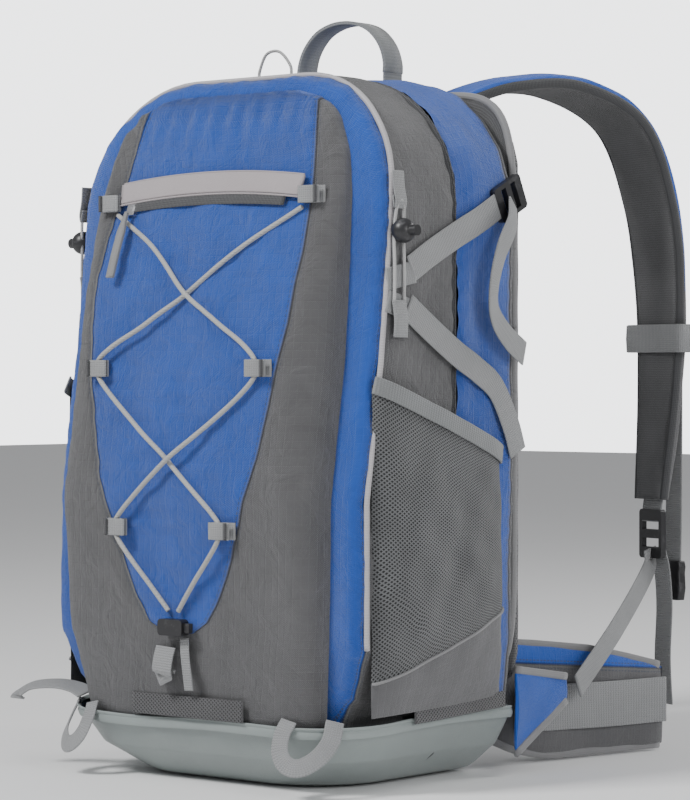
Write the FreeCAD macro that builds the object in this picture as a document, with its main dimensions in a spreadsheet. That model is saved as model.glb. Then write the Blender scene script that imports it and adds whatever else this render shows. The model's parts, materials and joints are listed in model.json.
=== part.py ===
import FreeCAD, Part
import Sketcher
import math
import os
import re

# Daypack, standing on its base. Millimetres, +Z up. The front pocket faces -Y,
# the back panel and the harness face +Y. The origin is the centre of the flat base.

Vector = FreeCAD.Vector
Rotation = FreeCAD.Rotation
Placement = FreeCAD.Placement

drivingSizes = [
    ("bodyWidth", 300, "width of the bag"),
    ("bodyHeight", 520, "height of the bag"),
    ("cornerRadius", 95, "radius of the bag's upper corners"),
    ("baseTaper", 44, "how much narrower each side of the floor is than the bag"),
    ("heelTaper", 20, "how much narrower each side is at the heel level"),
    ("pocketMargin", 23, "from the bag's side to the edge of the front pocket"),
    ("baseHalf", "=bodyWidth / 2 - baseTaper", "half width of the bag's floor"),
    ("heelHalf", "=bodyWidth / 2 - heelTaper", "half width of the bag at the heel level"),
    ("backPlane", 102, "rear wall of the main compartment, along Y"),
    ("seamPlane", 28, "main zip, along Y"),
    ("zipGap", 6, "width of the zip between the tub and the lid"),
    ("shellWall", 2, "wall of the padded bag panels"),
    ("pocketWall", 1.6, "wall of the pockets"),
    ("clearance", 0.3, "clearance between pieces"),
    ("bootHeight", 52, "height of the coated base"),
    ("bootWall", 3, "wall of the coated base"),
    ("levelToe", 4, "level of the bag's floor"),
    ("levelHeel", 22, "level of the heel"),
    ("levelHip", 110, "level where the bag reaches its full width"),
    ("levelBelly", 210, "level of the fullest part"),
    ("levelChest", 310, "level above the fullest part"),
    ("levelShoulder", 365, "level where the pocket starts to fall back"),
    ("levelBand", 430, "level of the front band"),
    ("levelCrown", 485, "top of the front pocket"),
    ("lidToe", -50, "lid front at the toe level"),
    ("lidHeel", -66, "lid front at the heel level"),
    ("lidBoot", -76, "lid front at the top of the base"),
    ("lidHip", -84, "lid front at the hip level"),
    ("lidChest", -68, "lid front at the chest level"),
    ("lidBand", -56, "lid front at the band level"),
    ("lidCrown", -47, "lid front at the crown level"),
    ("lidTop", -38, "lid front at the very top"),
    ("frontToe", -64, "pocket front at the toe level"),
    ("frontHeel", -84, "pocket front at the heel level"),
    ("frontBoot", -97, "pocket front at the top of the base"),
    ("frontHip", -106, "pocket front at the hip level"),
    ("frontBelly", -115, "pocket front at the belly level"),
    ("frontChest", -104, "pocket front at the chest level"),
    ("frontShoulder", -92, "pocket front at the shoulder level"),
    ("frontBand", -68, "pocket front at the band level"),
    ("frontCrown", -53, "pocket front at the crown level"),
    ("pocketHalf", "=bodyWidth / 2 - pocketMargin", "half width of the front pocket"),
    ("sheetThick", 2, "frame sheet thickness"),
    ("boardThick", 3, "back board thickness"),
    ("padThick", 11, "back pad thickness"),
    ("padHalf", 58, "width of one back pad"),
    ("sideBulge", 20, "how far a side pocket stands out"),
    ("sideFront", -68, "front edge of a side pocket"),
    ("sideRear", 82, "rear edge of a side pocket"),
    ("sideFloor", 56, "floor of a side pocket"),
    ("sideHighRim", 302, "front end of a side pocket's rim"),
    ("sideLowRim", 248, "rear end of a side pocket's rim"),
    ("bindingWidth", 10, "width of a side pocket's elastic binding"),
    ("webWidth", 20, "width of the compression webbing"),
    ("webThick", 1.6, "thickness of all webbing"),
    ("strapWidth", 62, "width of a shoulder strap"),
    ("strapThick", 10, "foam thickness of a shoulder strap"),
    ("liningThick", 3, "mesh lining of a shoulder strap"),
    ("strapSpread", 16, "turn of a shoulder strap's plane, in degrees"),
    ("anchorHalf", 48, "shoulder strap anchor, from the middle"),
    ("wingThick", 9, "thickness of a hip belt wing"),
    ("wingLength", 190, "length of a hip belt wing"),
    ("wingTurn", 12, "turn of a hip belt wing, in degrees"),
    ("haulHalf", 42, "half the spread of the haul loop's feet"),
    ("haulRise", 52, "height of the haul loop"),
    ("haulWidth", 22, "width of the haul loop's webbing"),
    ("pipingDiameter", 4.4, "diameter of the piping"),
    ("hookY", 186, "rear tip of the stabiliser panel, along Y"),
    ("cordDiameter", 3.6, "diameter of the laced cord"),
    ("thinCord", 2.4, "diameter of the thin cords"),
]

doc = FreeCAD.newDocument("Daypack")
sheet = doc.addObject("Spreadsheet::Sheet", "dims")
for row, (alias, value, note) in enumerate(drivingSizes, start=1):
    sheet.set(f"A{row}", note)
    sheet.set(f"B{row}", str(value))
    sheet.setAlias(f"B{row}", alias)
doc.recompute()

pieces = []
leftAndRight = ((1, "right"), (-1, "left"))


def bound(formula):
    # A formula of the sheet's names, as an expression.
    return re.sub(r"[a-z]\w*", lambda word: "dims." + word.group(0), str(formula))


def size(formula):
    # The value of such a formula, in millimetres.
    return float(sheet.evalExpression(bound(formula)))


def times(sign, formula):
    return formula if sign > 0 else f"-1 * ({formula})"


def keep(piece, label):
    piece.Label = label
    pieces.append(piece)
    return piece


def box(label, xRange, yRange, zRange, sign=1):
    # A block between two faces on each axis. A sign of -1 mirrors it to the left.
    low, high = xRange if sign > 0 else (times(-1, xRange[1]), times(-1, xRange[0]))
    block = doc.addObject("Part::Box", label)
    ranges = ((low, high), yRange, zRange)
    for edge, axis, (start, end) in zip(("Length", "Width", "Height"), "xyz", ranges):
        block.setExpression(edge, bound(f"({end}) - ({start})"))
        block.setExpression("Placement.Base." + axis, bound(start))
    return block


def boolean(kind, label, base, tool):
    # kind is Cut, Fuse or Common.
    result = doc.addObject("Part::" + kind, label)
    result.Base = base
    result.Tool = tool
    return result


def newBody(label):
    return doc.addObject("PartDesign::Body", label)


def originPlane(body, role):
    return next(f for f in body.Origin.OriginFeatures if f.Role == role)


def newSketch(body, role, offset):
    sketch = body.newObject("Sketcher::SketchObject", body.Label + "Sketch")
    sketch.AttachmentSupport = [(originPlane(body, role), "")]
    sketch.MapMode = "FlatFace"
    sketch.setExpression("AttachmentOffset.Base.z", bound(offset))
    return sketch


def polygonSketch(body, role, offset, outlines):
    # Closed outlines. Each corner is held at its two formulas, from the origin.
    sketch = newSketch(body, role, offset)
    first = 0
    for outline in outlines:
        places = [Vector(size(a), size(b), 0) for a, b in outline]
        count = len(places)
        for i in range(count):
            sketch.addGeometry(Part.LineSegment(places[i], places[(i + 1) % count]), False)
        for i in range(count):
            follower = first + (i + 1) % count
            sketch.addConstraint(Sketcher.Constraint("Coincident", first + i, 2, follower, 1))
        for i, formulas in enumerate(outline):
            values = (places[i].x, places[i].y)
            for kind, formula, value in zip(("DistanceX", "DistanceY"), formulas, values):
                rule = Sketcher.Constraint(kind, -1, 1, first + i, 1, value)
                number = sketch.addConstraint(rule)
                sketch.setExpression(f"Constraints[{number}]", bound(formula))
        first += count
    return sketch


def padOn(body, sketch, length, reverse=False, middle=False):
    pad = body.newObject("PartDesign::Pad", body.Label + "Pad")
    pad.Profile = sketch
    pad.setExpression("Length", bound(length))
    pad.Reversed = reverse
    pad.Midplane = middle
    sketch.Visibility = False
    return pad


def polygonPiece(label, role, offset, outline, length, reverse=False, hole=None):
    # A plate: an outline, with or without a hole, padded from one plane.
    body = newBody(label)
    outlines = [outline] if hole is None else [outline, hole]
    sketch = polygonSketch(body, role, offset, outlines)
    padOn(body, sketch, length, reverse)
    return body


def rounded(body, radius, chosen):
    # Rounds the edges of the body's tip that the test chooses.
    doc.recompute()
    base = body.Tip
    edges = [f"Edge{i + 1}" for i, e in enumerate(base.Shape.Edges) if chosen(e)]
    fillet = body.newObject("PartDesign::Fillet", body.Label + "Fillet")
    fillet.Base = (base, edges)
    fillet.setExpression("Radius", bound(radius))
    return fillet


def hollowed(body, wall, open_):
    # Hollows the body's tip and leaves out the faces that the test chooses.
    doc.recompute()
    base = body.Tip
    faces = [f"Face{i + 1}" for i, f in enumerate(base.Shape.Faces) if open_(f)]
    shell = body.newObject("PartDesign::Thickness", body.Label + "Wall")
    shell.Base = (base, faces)
    shell.setExpression("Value", bound(wall))
    shell.Reversed = True
    doc.recompute()
    assert shell.Shape.Volume < base.Shape.Volume * 0.6, body.Label
    return shell


def isAlong(edge, axis):
    # A straight edge along one axis.
    direction = edge.tangentAt(edge.FirstParameter)
    straight = edge.Curve.TypeId == "Part::GeomLine"
    return straight and abs(direction.dot(axis)) > 0.999


def roundedSection(body, level, half, front, rear, frontRadius, rearRadius):
    # A rectangle across the bag at one level, with its four corners rounded.
    sketch = newSketch(body, "XY_Plane", level)
    h, f, b = size(half), size(front), size(rear)
    rf, rr = size(frontRadius), size(rearRadius)
    corners = ((h - rf, f + rf, rf, -90), (h - rr, b - rr, rr, 0),
               (rr - h, b - rr, rr, 90), (rf - h, f + rf, rf, 180))
    arcs = []
    for x, y, radius, start in corners:
        circle = Part.Circle(Vector(x, y, 0), Vector(0, 0, 1), radius)
        arcs.append(Part.ArcOfCircle(circle, math.radians(start), math.radians(start + 90)))
    for i in range(4):
        line = Part.LineSegment(arcs[i - 1].EndPoint, arcs[i].StartPoint)
        sketch.addGeometry(line, False)
        sketch.addGeometry(arcs[i], False)
    for i in range(8):
        sketch.addConstraint(Sketcher.Constraint("Tangent", i, 2, (i + 1) % 8, 1))
    for i, kind in ((0, "Horizontal"), (2, "Vertical"), (4, "Horizontal"), (6, "Vertical")):
        sketch.addConstraint(Sketcher.Constraint(kind, i))
    rules = [("Radius", (1, rf), frontRadius), ("Radius", (7, rf), frontRadius),
             ("Radius", (3, rr), rearRadius), ("Radius", (5, rr), rearRadius),
             ("DistanceY", (-1, 1, 0, 1, f), front), ("DistanceY", (-1, 1, 4, 1, b), rear),
             ("DistanceX", (-1, 1, 2, 1, h), half), ("DistanceX", (-1, 1, 6, 1, -h), times(-1, half))]
    for kind, places, formula in rules:
        number = sketch.addConstraint(Sketcher.Constraint(kind, *places))
        sketch.setExpression(f"Constraints[{number}]", bound(formula))
    return sketch


def loftOn(body, kind, sections):
    # kind is AdditiveLoft or SubtractiveLoft.
    sketches = [roundedSection(body, *section) for section in sections]
    loft = body.newObject("PartDesign::" + kind, body.Label + kind)
    loft.Profile = sketches[0]
    loft.Sections = sketches[1:]
    loft.Ruled = True
    return loft


def feature(label, shape, place=None):
    # A free-form piece, made from the sheet's values.
    piece = doc.addObject("Part::Feature", label)
    piece.Shape = shape
    if place is not None:
        piece.Placement = place
    return keep(piece, label)


def group(label, shapes):
    # Like pieces on both sides of the bag, as separate solids of one node.
    return feature(label, Part.makeCompound(shapes))


def arcPath(points, radii=None):
    # Straight runs joined by tangent arcs. With no radii given, each arc has 0.45 of
    # the shorter run, divided by the tangent of half the turn.
    edges = []
    used = []
    start = points[0]
    for i in range(1, len(points) - 1):
        before = points[i] - points[i - 1]
        after = points[i + 1] - points[i]
        shorter = min(before.Length, after.Length)
        before.normalize()
        after.normalize()
        half = before.getAngle(after) / 2
        radius = radii[i - 1] if radii else 0.45 * shorter / math.tan(half)
        trim = radius * math.tan(half)
        inward = (after - before).normalize()
        centre = points[i] + inward * (radius / math.cos(half))
        first = points[i] - before * trim
        last = points[i] + after * trim
        edges.append(Part.LineSegment(start, first).toShape())
        edges.append(Part.Arc(first, centre - inward * radius, last).toShape())
        used.append(radius)
        start = last
    edges.append(Part.LineSegment(start, points[-1]).toShape())
    return Part.Wire(edges), used


def tube(label, points, diameter, radii=None):
    # A round cord along its route. Prints the radii and tests the volume.
    path, used = arcPath(points, radii)
    along = points[1] - points[0]
    ring = Part.Wire(Part.Circle(points[0], along, diameter / 2).toShape())
    solid = path.makePipeShell([ring], True, False)
    section = math.pi * diameter ** 2 / 4
    share = solid.Volume / (section * path.Length)
    print(label, "length", round(path.Length), "radii", [round(r) for r in used],
          "volume share", round(share, 3))
    assert 0.97 < share < 1.03, label
    return solid


def band(points, thickness, width, across, radii=None):
    # Webbing or foam on edge: a flat path, thickened evenly and given its width.
    edge = [point - across * (width / 2) for point in points]
    path, _ = arcPath(edge, radii)
    outline = path.makeOffset2D(thickness / 2, 0, False, False, True)
    return Part.Face(outline).extrude(across * width)


def ribbon(points, facings, width, thickness):
    # Webbing that lies on a surface: at each point it has a facing direction.
    wires = []
    last = len(points) - 1
    for i, (point, facing) in enumerate(zip(points, facings)):
        along = (points[min(i + 1, last)] - points[max(i - 1, 0)]).normalize()
        side = along.cross(facing).normalize()
        out = side.cross(along).normalize() * thickness
        reach = side * (width / 2)
        corners = [point - reach, point + reach, point + reach + out, point - reach + out]
        wires.append(Part.makePolygon(corners + corners[:1]))
    return Part.makeLoft(wires, True, True)


# The bag --------------------------------------------------------------------

levels = ("levelToe", "levelHeel", "bootHeight", "levelHip", "levelBelly",
          "levelChest", "levelShoulder", "levelBand", "levelCrown")
pocketFronts = ("frontToe", "frontHeel", "frontBoot", "frontHip", "frontBelly",
                "frontChest", "frontShoulder", "frontBand", "frontCrown")
lidFronts = ("lidToe", "lidHeel", "lidBoot", "lidHip", "lidHip",
             "lidChest", "(lidChest + lidBand) / 2", "lidBand", "lidCrown")
# How much narrower than the fullest level the front pocket is.
pocketInsets = (47, 24, 7, 1, 0, 1, 4, 9, 24)


def bagOutline(inset="0"):
    # The bag from the front: sloped below the hip level, straight above it.
    right = [(f"baseHalf - {inset}", f"levelToe + {inset}"),
             (f"heelHalf - {inset}", "levelHeel"),
             (f"bodyWidth / 2 - 3.5 - {inset}", "bootHeight"),
             (f"bodyWidth / 2 - {inset}", "levelHip"),
             (f"bodyWidth / 2 - {inset}", f"bodyHeight - {inset}")]
    left = [(times(-1, x), z) for x, z in reversed(right)]
    return right + left


def topCorner(edge):
    return isAlong(edge, Vector(0, 1, 0)) and edge.CenterOfMass.z > size("bodyHeight") - 30


def makeMainShell():
    # The rear half of the main compartment, open towards the zip.
    body = polygonPiece("main_shell", "XZ_Plane", "-backPlane", bagOutline(),
                        "backPlane - seamPlane - zipGap / 2")
    rounded(body, "cornerRadius", topCorner)
    mouth = size("seamPlane + zipGap / 2")
    hollowed(body, "shellWall", lambda f: abs(f.CenterOfMass.y - mouth) < 0.01)
    return keep(body, "main_shell")


def lidSolid(label, inset, mouth):
    # The lid's outer or inner form: the bag's outline, cut back along its leaning front.
    body = polygonPiece(label, "XZ_Plane", f"-1 * ({mouth})", bagOutline(inset),
                        f"{mouth} - lidHip + 10")
    rounded(body, f"cornerRadius - {inset}", topCorner)
    slope = [(f"{front} + {inset}", level) for front, level in zip(lidFronts, levels)]
    del slope[6]
    slope[4] = (f"lidHip - 0.5 + {inset}", "levelBelly")
    outline = [("lidHip - 30", "-5"), (f"lidToe + {inset}", "-5")] + slope
    outline += [(f"lidTop + {inset}", "bodyHeight + 5"), ("lidHip - 30", "bodyHeight + 5")]
    sketch = polygonSketch(body, "YZ_Plane", "0", [outline])
    cut = body.newObject("PartDesign::Pocket", label + "Slope")
    cut.Profile = sketch
    cut.setExpression("Length", bound("bodyWidth + 40"))
    cut.Midplane = True
    doc.recompute()
    return body


def makeFrontLid():
    # The front half, open towards the zip. Its front wall leans with the pocket.
    outer = lidSolid("lid_outside", "0", "seamPlane - zipGap / 2")
    inner = lidSolid("lid_inside", "pocketWall", "seamPlane - zipGap / 2 + 1")
    return keep(boolean("Cut", "front_lid", outer, inner), "front_lid")


def zipPlate(label, inset, margin):
    # A plate in the zip's gap with the bag's outline, drawn in by the inset.
    rear = f"seamPlane + zipGap / 2 - clearance + {margin}"
    body = polygonPiece(label, "XZ_Plane", f"-1 * ({rear})", bagOutline(inset),
                        f"zipGap - 2 * clearance + 2 * {margin}")
    rounded(body, f"cornerRadius - {inset}", topCorner)
    doc.recompute()
    return body


def makeMainZip():
    # The coil and tape between the two halves, all the way round.
    ring = boolean("Cut", "main_zip", zipPlate("zip_outside", "0", "0"),
                   zipPlate("zip_inside", "9", "1"))
    return keep(ring, "main_zip")


def makeFrontPocket():
    # The bulged pocket on the front of the lid, open at the back against it.
    outer = []
    inner = []
    names = zip(levels, pocketFronts, lidFronts, pocketInsets)
    for i, (level, front, lid, inset) in enumerate(names):
        rear = f"{lid} - clearance - 0.2" if i != 4 else f"{lid} - clearance - 0.7"
        half = f"pocketHalf - {inset}"
        radius = f"{rear} - {front} - 1"
        outer.append((level, half, front, rear, radius, "0.5"))
        lift = {0: " + pocketWall", 8: " - pocketWall"}.get(i, "")
        inner.append((level + lift, half + " - pocketWall", front + " + pocketWall",
                      rear + " + 2", radius + " - pocketWall + 1", "0.5"))
    body = newBody("front_pocket")
    loftOn(body, "AdditiveLoft", outer)
    doc.recompute()
    loftOn(body, "SubtractiveLoft", inner)
    return keep(body, "front_pocket")


def makeBaseBoot():
    # The coated cup that the bag's lower end is sewn into. Its floor is flat.
    seat = "clearance + 0.5"
    fronts = ("frontToe", "frontHeel", "frontBoot")
    halves = ("baseHalf", "heelHalf", "bodyWidth / 2 - 3.5")
    lids = ("lidToe", "lidHeel", "lidBoot")
    outer = []
    inner = []
    names = zip(("levelToe - 4", "levelHeel", "bootHeight"), halves, fronts, lids)
    for level, half, front, lid in names:
        corner = f"{lid} - {front} - 1"
        rear = f"backPlane + {seat}"
        inner.append((level, f"{half} + {seat}", f"{front} - clearance - 0.2", rear, corner, "1"))
        outer.append((level, f"{half} + {seat} + bootWall", f"{front} - clearance - 0.2 - bootWall",
                      f"{rear} + bootWall", f"{corner} + bootWall", "1 + bootWall"))
    inner[0] = ("bootWall", "baseHalf + 2", "frontToe - 2") + inner[0][3:]
    inner[-1] = ("bootHeight + 1",) + inner[-1][1:]
    body = newBody("base_boot")
    loftOn(body, "AdditiveLoft", outer)
    doc.recompute()
    loftOn(body, "SubtractiveLoft", inner)
    return keep(body, "base_boot")


def makePiping():
    # The edge of the lid's front, from the belly level over the top and down again.
    reach = size("bodyWidth / 2 + pipingDiameter / 2 + clearance")
    top = size("bodyHeight + pipingDiameter / 2 + clearance")
    radius = size("cornerRadius + pipingDiameter / 2 + clearance")
    half = [Vector(reach, size("lidHip") - 4, size("levelBelly")),
            Vector(reach, size("lidChest") + 6, size("levelShoulder")),
            Vector(reach, size("lidTop") - 8, top)]
    points = [Vector(-p.x, p.y, p.z) for p in half] + half[::-1]
    shape = tube("piping", points, size("pipingDiameter"), [60, radius, radius, 60])
    return feature("piping", shape)


def makeBackParts():
    # Stiffener, board and foam pads, stacked on the rear wall above the base.
    low = "bootHeight + 8"
    y = "backPlane + clearance"
    stack = (("frame_sheet", "bodyWidth / 2 - 22", "sheetThick", "bodyHeight - 22", 70),
             ("back_board", "bodyWidth / 2 - 4", "boardThick", "bodyHeight - 6", 88))
    for label, half, thick, top, corner in stack:
        outline = [(f"-1 * ({half})", low), (half, low), (half, top), (f"-1 * ({half})", top)]
        body = polygonPiece(label, "XZ_Plane", f"-1 * ({y} + {thick})", outline, thick)
        rounded(body, corner, topCorner)
        keep(body, label)
        y = f"{y} + {thick} + clearance"
    blocks = [("pad_block_" + side, ("16", "16 + 2 * padHalf"), ("150", "bodyHeight - 34"), sign)
              for sign, side in leftAndRight]
    wide = ("-1 * (bodyWidth / 2 - 46)", "bodyWidth / 2 - 46")
    blocks.append(("lumbar_block", wide, ("bootHeight + 12", "142"), 1))
    pads = []
    for label, xRange, zRange, sign in blocks:
        block = box(label, xRange, (y, f"{y} + padThick"), zRange, sign)
        doc.recompute()
        corners = [e for e in block.Shape.Edges if isAlong(e, Vector(0, 1, 0))]
        pads.append(block.Shape.makeFillet(14, corners))
    group("back_pads", pads)


def makeSleeve():
    # The flat inner pocket for a water bag, on the rear wall of the main compartment.
    rear = "backPlane - shellWall - clearance"
    body = polygonPiece("water_sleeve", "XZ_Plane", f"-1 * ({rear})",
                        [("-105", "20"), ("105", "20"), ("105", "360"), ("-105", "360")], "14")
    top = lambda f: abs(f.CenterOfMass.z - 360) < 0.01
    hollowed(body, "1.2", top)
    keep(body, "water_sleeve")


makeMainShell()
makeFrontLid()
makeMainZip()
makeFrontPocket()
makeBaseBoot()
makePiping()
makeBackParts()
makeSleeve()


# Pockets, webbing and fittings that stay on the bag -----------------------------

wallX = "bodyWidth / 2 + clearance"
# Where the lace starts, and its upper and lower loops: half spread and level.
laceStart = (95, 430)
laceHigh = (74, 305)
laceLow = (47, 188)


def makeSidePocket(sign, side):
    # An open-topped cup against the side of the bag, which is its inner wall.
    name = "side_pocket_" + side
    outline = [("sideFront", "sideFloor"), ("sideRear", "sideFloor"),
               ("sideRear", "sideLowRim"), ("sideFront", "sideHighRim")]
    body = polygonPiece(name, "YZ_Plane", times(sign, wallX), outline, "sideBulge", sign < 0)
    inner = size(wallX)
    rimMiddle = size("(sideLowRim + sideHighRim) / 2")
    onBag = lambda f: abs(abs(f.CenterOfMass.x) - inner) < 0.01
    onRim = lambda f: abs(f.CenterOfMass.z - rimMiddle) < 1
    hollowed(body, "pocketWall", lambda f: onBag(f) or onRim(f))
    keep(body, name)
    outside = f"{wallX} + sideBulge + clearance"
    rim = [("sideFront", "sideHighRim - bindingWidth - 2"),
           ("sideRear", "sideLowRim - bindingWidth - 2"),
           ("sideRear", "sideLowRim - 2"), ("sideFront", "sideHighRim - 2")]
    binding = polygonPiece("binding_strip_" + side, "YZ_Plane", times(sign, outside), rim,
                           "webThick", sign < 0)
    doc.recompute()
    return binding


def onFront(level):
    # The front pocket's surface at a level, along Y, between its two nearest sections.
    heights = [size(name) for name in levels]
    fronts = [size(name) for name in pocketFronts]
    for i in range(len(heights) - 1):
        if level <= heights[i + 1]:
            share = (level - heights[i]) / (heights[i + 1] - heights[i])
            return fronts[i] + share * (fronts[i + 1] - fronts[i])
    return fronts[-1]


def frontPlate(label, half, low, high, thick, lift):
    # A strip across the front pocket, parallel to its leaning surface.
    points = [Vector(0, onFront(z) - size("clearance") - lift, z) for z in (low, high)]
    facing = Vector(0, points[1].z - points[0].z, points[0].y - points[1].y).normalize() * -1
    return feature(label, ribbon(points, [facing, facing], 2 * half, thick))


def makeFrontBand():
    # The pocket's zip lies under a flap, and both follow the leaning front.
    middle = size("levelBand")
    frontPlate("front_zip", 72, middle - 10, middle + 1, 0.8, 0.4)
    frontPlate("zip_flap", 86, middle + 2, middle + 16, 1.6, 0.4)


def tabFace(level):
    # The inner leaf of a loop stands just clear of the surface, which leans.
    return min(onFront(level - 6), onFront(level + 6)) - 1.4


def makeBungeeLoops():
    # Folded webbing loops on the front pocket, that hold the lace.
    loops = []
    for x, z in ((laceHigh[0], laceHigh[1]), (laceLow[0], laceLow[1]), (laceStart[0], laceStart[1])):
        for sign in (1, -1):
            y = tabFace(z)
            path = [Vector(sign * (x + 22), y, z), Vector(sign * (x - 1), y, z),
                    Vector(sign * (x - 1), y - 6.6, z), Vector(sign * (x + 22), y - 6.6, z)]
            loops.append(band(path, size("webThick"), 12, Vector(0, 0, 1), [3.2, 3.2]))
    return feature("bungee_loops", Part.makeCompound(loops))


def sideTabs(sign):
    # Sewn tabs on the side: two where the compression webbing starts, and one above
    # them that holds the side cord.
    x = size(wallX) + 0.3
    tabs = []
    for z, slope in ((374, 0.5), (350, -0.5)):
        along = Vector(0, 1, slope).normalize()
        foot = Vector(sign * x, -42, z)
        tabs.append(ribbon([foot - along * 6, foot + along * 6], [Vector(sign, 0, 0)] * 2,
                           size("webWidth"), 1.4))
    x = size(wallX) + 0.3
    tabs.append(ribbon([Vector(sign * x, -44, 442), Vector(sign * x, -44, 418)],
                       [Vector(sign, 0, 0)] * 2, 12, size("webThick")))
    return tabs


def compressionStraps(sign):
    # Both straps lie on the side of the bag, above the pocket's rim. The upper one's
    # loose end hangs in a bow behind its buckle.
    x = size(wallX) + 0.3
    width = size("webWidth")
    thick = size("webThick")
    facing = Vector(sign, 0, 0)
    upper = [Vector(sign * x, -26, 382), Vector(sign * x, 71, 424)]
    lower = [Vector(sign * x, -26, 342), Vector(sign * x, 22, 316),
             Vector(sign * x, 70, 293), Vector(sign * x, 101, 239)]
    tail = [Vector(sign * (x + 8), 84, 417), Vector(sign * (x + 14), 58, 392),
            Vector(sign * (x + 12), 50, 360), Vector(sign * (x + 10), 76, 332),
            Vector(sign * (x + 10), 100, 318)]
    return [ribbon(path, [facing] * len(path), width, thick) for path in (upper, lower, tail)]


def ladderLock(width, length, thick):
    # A webbing adjuster: a frame with two slots and three bars, flat in the XZ plane.
    frame = Part.makeBox(width, thick, length, Vector(-width / 2, 0, -length / 2))
    slotWidth = width - 7
    slotHeight = length * 0.18
    for z in (-0.27 * length, 0.09 * length):
        slot = Part.makeBox(slotWidth, thick + 2, slotHeight, Vector(-slotWidth / 2, -1, z))
        frame = frame.cut(slot)
    corners = [e for e in frame.Edges
               if isAlong(e, Vector(0, 1, 0)) and abs(abs(e.CenterOfMass.x) - width / 2) < 0.01]
    return frame.makeFillet(3, corners)


def sideBuckle(sign):
    # The adjuster at the rear end of the upper strap, its slots across the webbing.
    shape = ladderLock(size("webWidth") + 7, 34, 4.5)
    flat = Rotation(Vector(0, 0, 1), 90 if sign > 0 else -90)
    lean = Rotation(Vector(1, 0, 0), -64)
    start = Vector(sign * (size(wallX) + 7), 88, 432)
    shape.Placement = Placement(start, lean.multiply(flat))
    return shape


def makeIceAxeLoops():
    # A webbing loop at each lower front corner, that lies flat and forward.
    loops = []
    for sign in (1, -1):
        path = [Vector(sign * 92, -104.5, 46), Vector(sign * 90, -113, 26),
                Vector(sign * 112, -112, 10), Vector(sign * 131, -103, 24),
                Vector(sign * 128, -100.5, 44)]
        facings = [Vector(0, -1, 0)] * 5
        loops.append(ribbon(path, facings, 14, size("webThick")))
    return feature("ice_axe_loops", Part.makeCompound(loops))


def stabiliser(sign):
    # The triangular panel that ties the harness's lower webbing to the bag.
    x = size("bodyWidth / 2") - 4
    root = size("backPlane") + 4.5
    out = Vector(sign * 3, 0, 0)
    wires = []
    for y, low, high in ((root, 14, 78), (size("hookY") - 14, 50, 68)):
        a, b = Vector(sign * x, y, low), Vector(sign * x, y, high)
        wires.append(Part.makePolygon([a, b, b + out, a + out, a]))
    return Part.makeLoft(wires, True, True)


bindings = boolean("Fuse", "pocket_bindings", makeSidePocket(1, "right"),
                   makeSidePocket(-1, "left"))
keep(bindings, "pocket_bindings")
makeFrontBand()
makeBungeeLoops()
sides = (1, -1)
group("side_tabs", sum((sideTabs(sign) for sign in sides), []))
group("compression_straps", sum((compressionStraps(sign) for sign in sides), []))
group("strap_buckles", [sideBuckle(sign) for sign in sides])
group("wing_stabilisers", [stabiliser(sign) for sign in sides])
makeIceAxeLoops()


# Harness ------------------------------------------------------------------------

backFace = size("backPlane + sheetThick + boardThick + padThick + 4 * clearance")
# The middle line of a shoulder strap, seen from its side: distance out, and level.
strapLine = [(20, 514), (70, 529), (135, 532), (200, 505), (231, 442),
             (242, 370), (241, 290), (233, 198)]


def strapPlace(sign):
    # A shoulder strap is drawn in the YZ plane and turned out from its anchor.
    turn = Rotation(Vector(0, 0, 1), -sign * size("strapSpread"))
    return Placement(Vector(sign * size("anchorHalf"), backFace, 0), turn)


def inside(line, distance):
    # The same line, moved square to itself, towards the back of the bag.
    moved = []
    last = len(line) - 1
    for i, (y, z) in enumerate(line):
        before, after = line[max(i - 1, 0)], line[min(i + 1, last)]
        along = Vector(0, after[0] - before[0], after[1] - before[1]).normalize()
        moved.append(Vector(0, y + along.z * distance, z - along.y * distance))
    return moved


def makeShoulderStrap(sign, side):
    # Curved foam with its covering, and the mesh lining on the wearer's side.
    place = strapPlace(sign)
    across = Vector(1, 0, 0)
    foam = band(inside(strapLine, 0), size("strapThick"), size("strapWidth"), across)
    feature("shoulder_strap_" + side, foam, place)
    gap = size("(strapThick + liningThick) / 2 + 2 * clearance")
    lining = band(inside(strapLine, gap), size("liningThick"), size("strapWidth") - 8, across)
    feature("strap_lining_" + side, lining, place)


def makeStrapAnchors():
    # The sewn blocks on the board that the shoulder straps grow out of.
    front = "backPlane + sheetThick + boardThick + 3 * clearance"
    blocks = [box("anchor_block_" + side, ("anchorHalf - 30", "anchorHalf + 30"),
                  (front, f"{front} + padThick"), ("bodyHeight - 31", "bodyHeight - 8"), sign)
              for sign, side in leftAndRight]
    keep(boolean("Fuse", "strap_anchors", *blocks), "strap_anchors")


def makeLadderLock(sign, side):
    # The adjuster below each shoulder strap.
    middle = Placement(Vector(0, 229, 170), Rotation())
    shape = ladderLock(size("webWidth") + 8, 40, 5)
    feature("ladder_lock_" + side, shape, strapPlace(sign).multiply(middle))


def makeLowerWebbing(sign, side):
    # From the adjuster to the stabiliser panel, and the loose tail that hangs free.
    place = strapPlace(sign)
    hook = Vector(sign * (size("bodyWidth / 2") - 2.5), size("hookY"), 59)
    start = place.multVec(Vector(0, 226, 138))
    middle = (start + hook) * 0.5 + Vector(sign * 4, 0, 3)
    facing = Vector(sign, 0, 0)
    path = [start, middle, hook]
    width = size("webWidth")
    webbing = ribbon(path, [facing] * 3, width, size("webThick"))
    tail = [place.multVec(Vector(0, y, z)) for y, z in ((240, 146), (243, 110), (240, 68), (243, 30))]
    outward = place.Rotation.multVec(Vector(0, 1, 0))
    loose = ribbon(tail, [outward] * 4, width, size("webThick"))
    feature("lower_webbing_" + side, Part.makeCompound([webbing, loose]))


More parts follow.
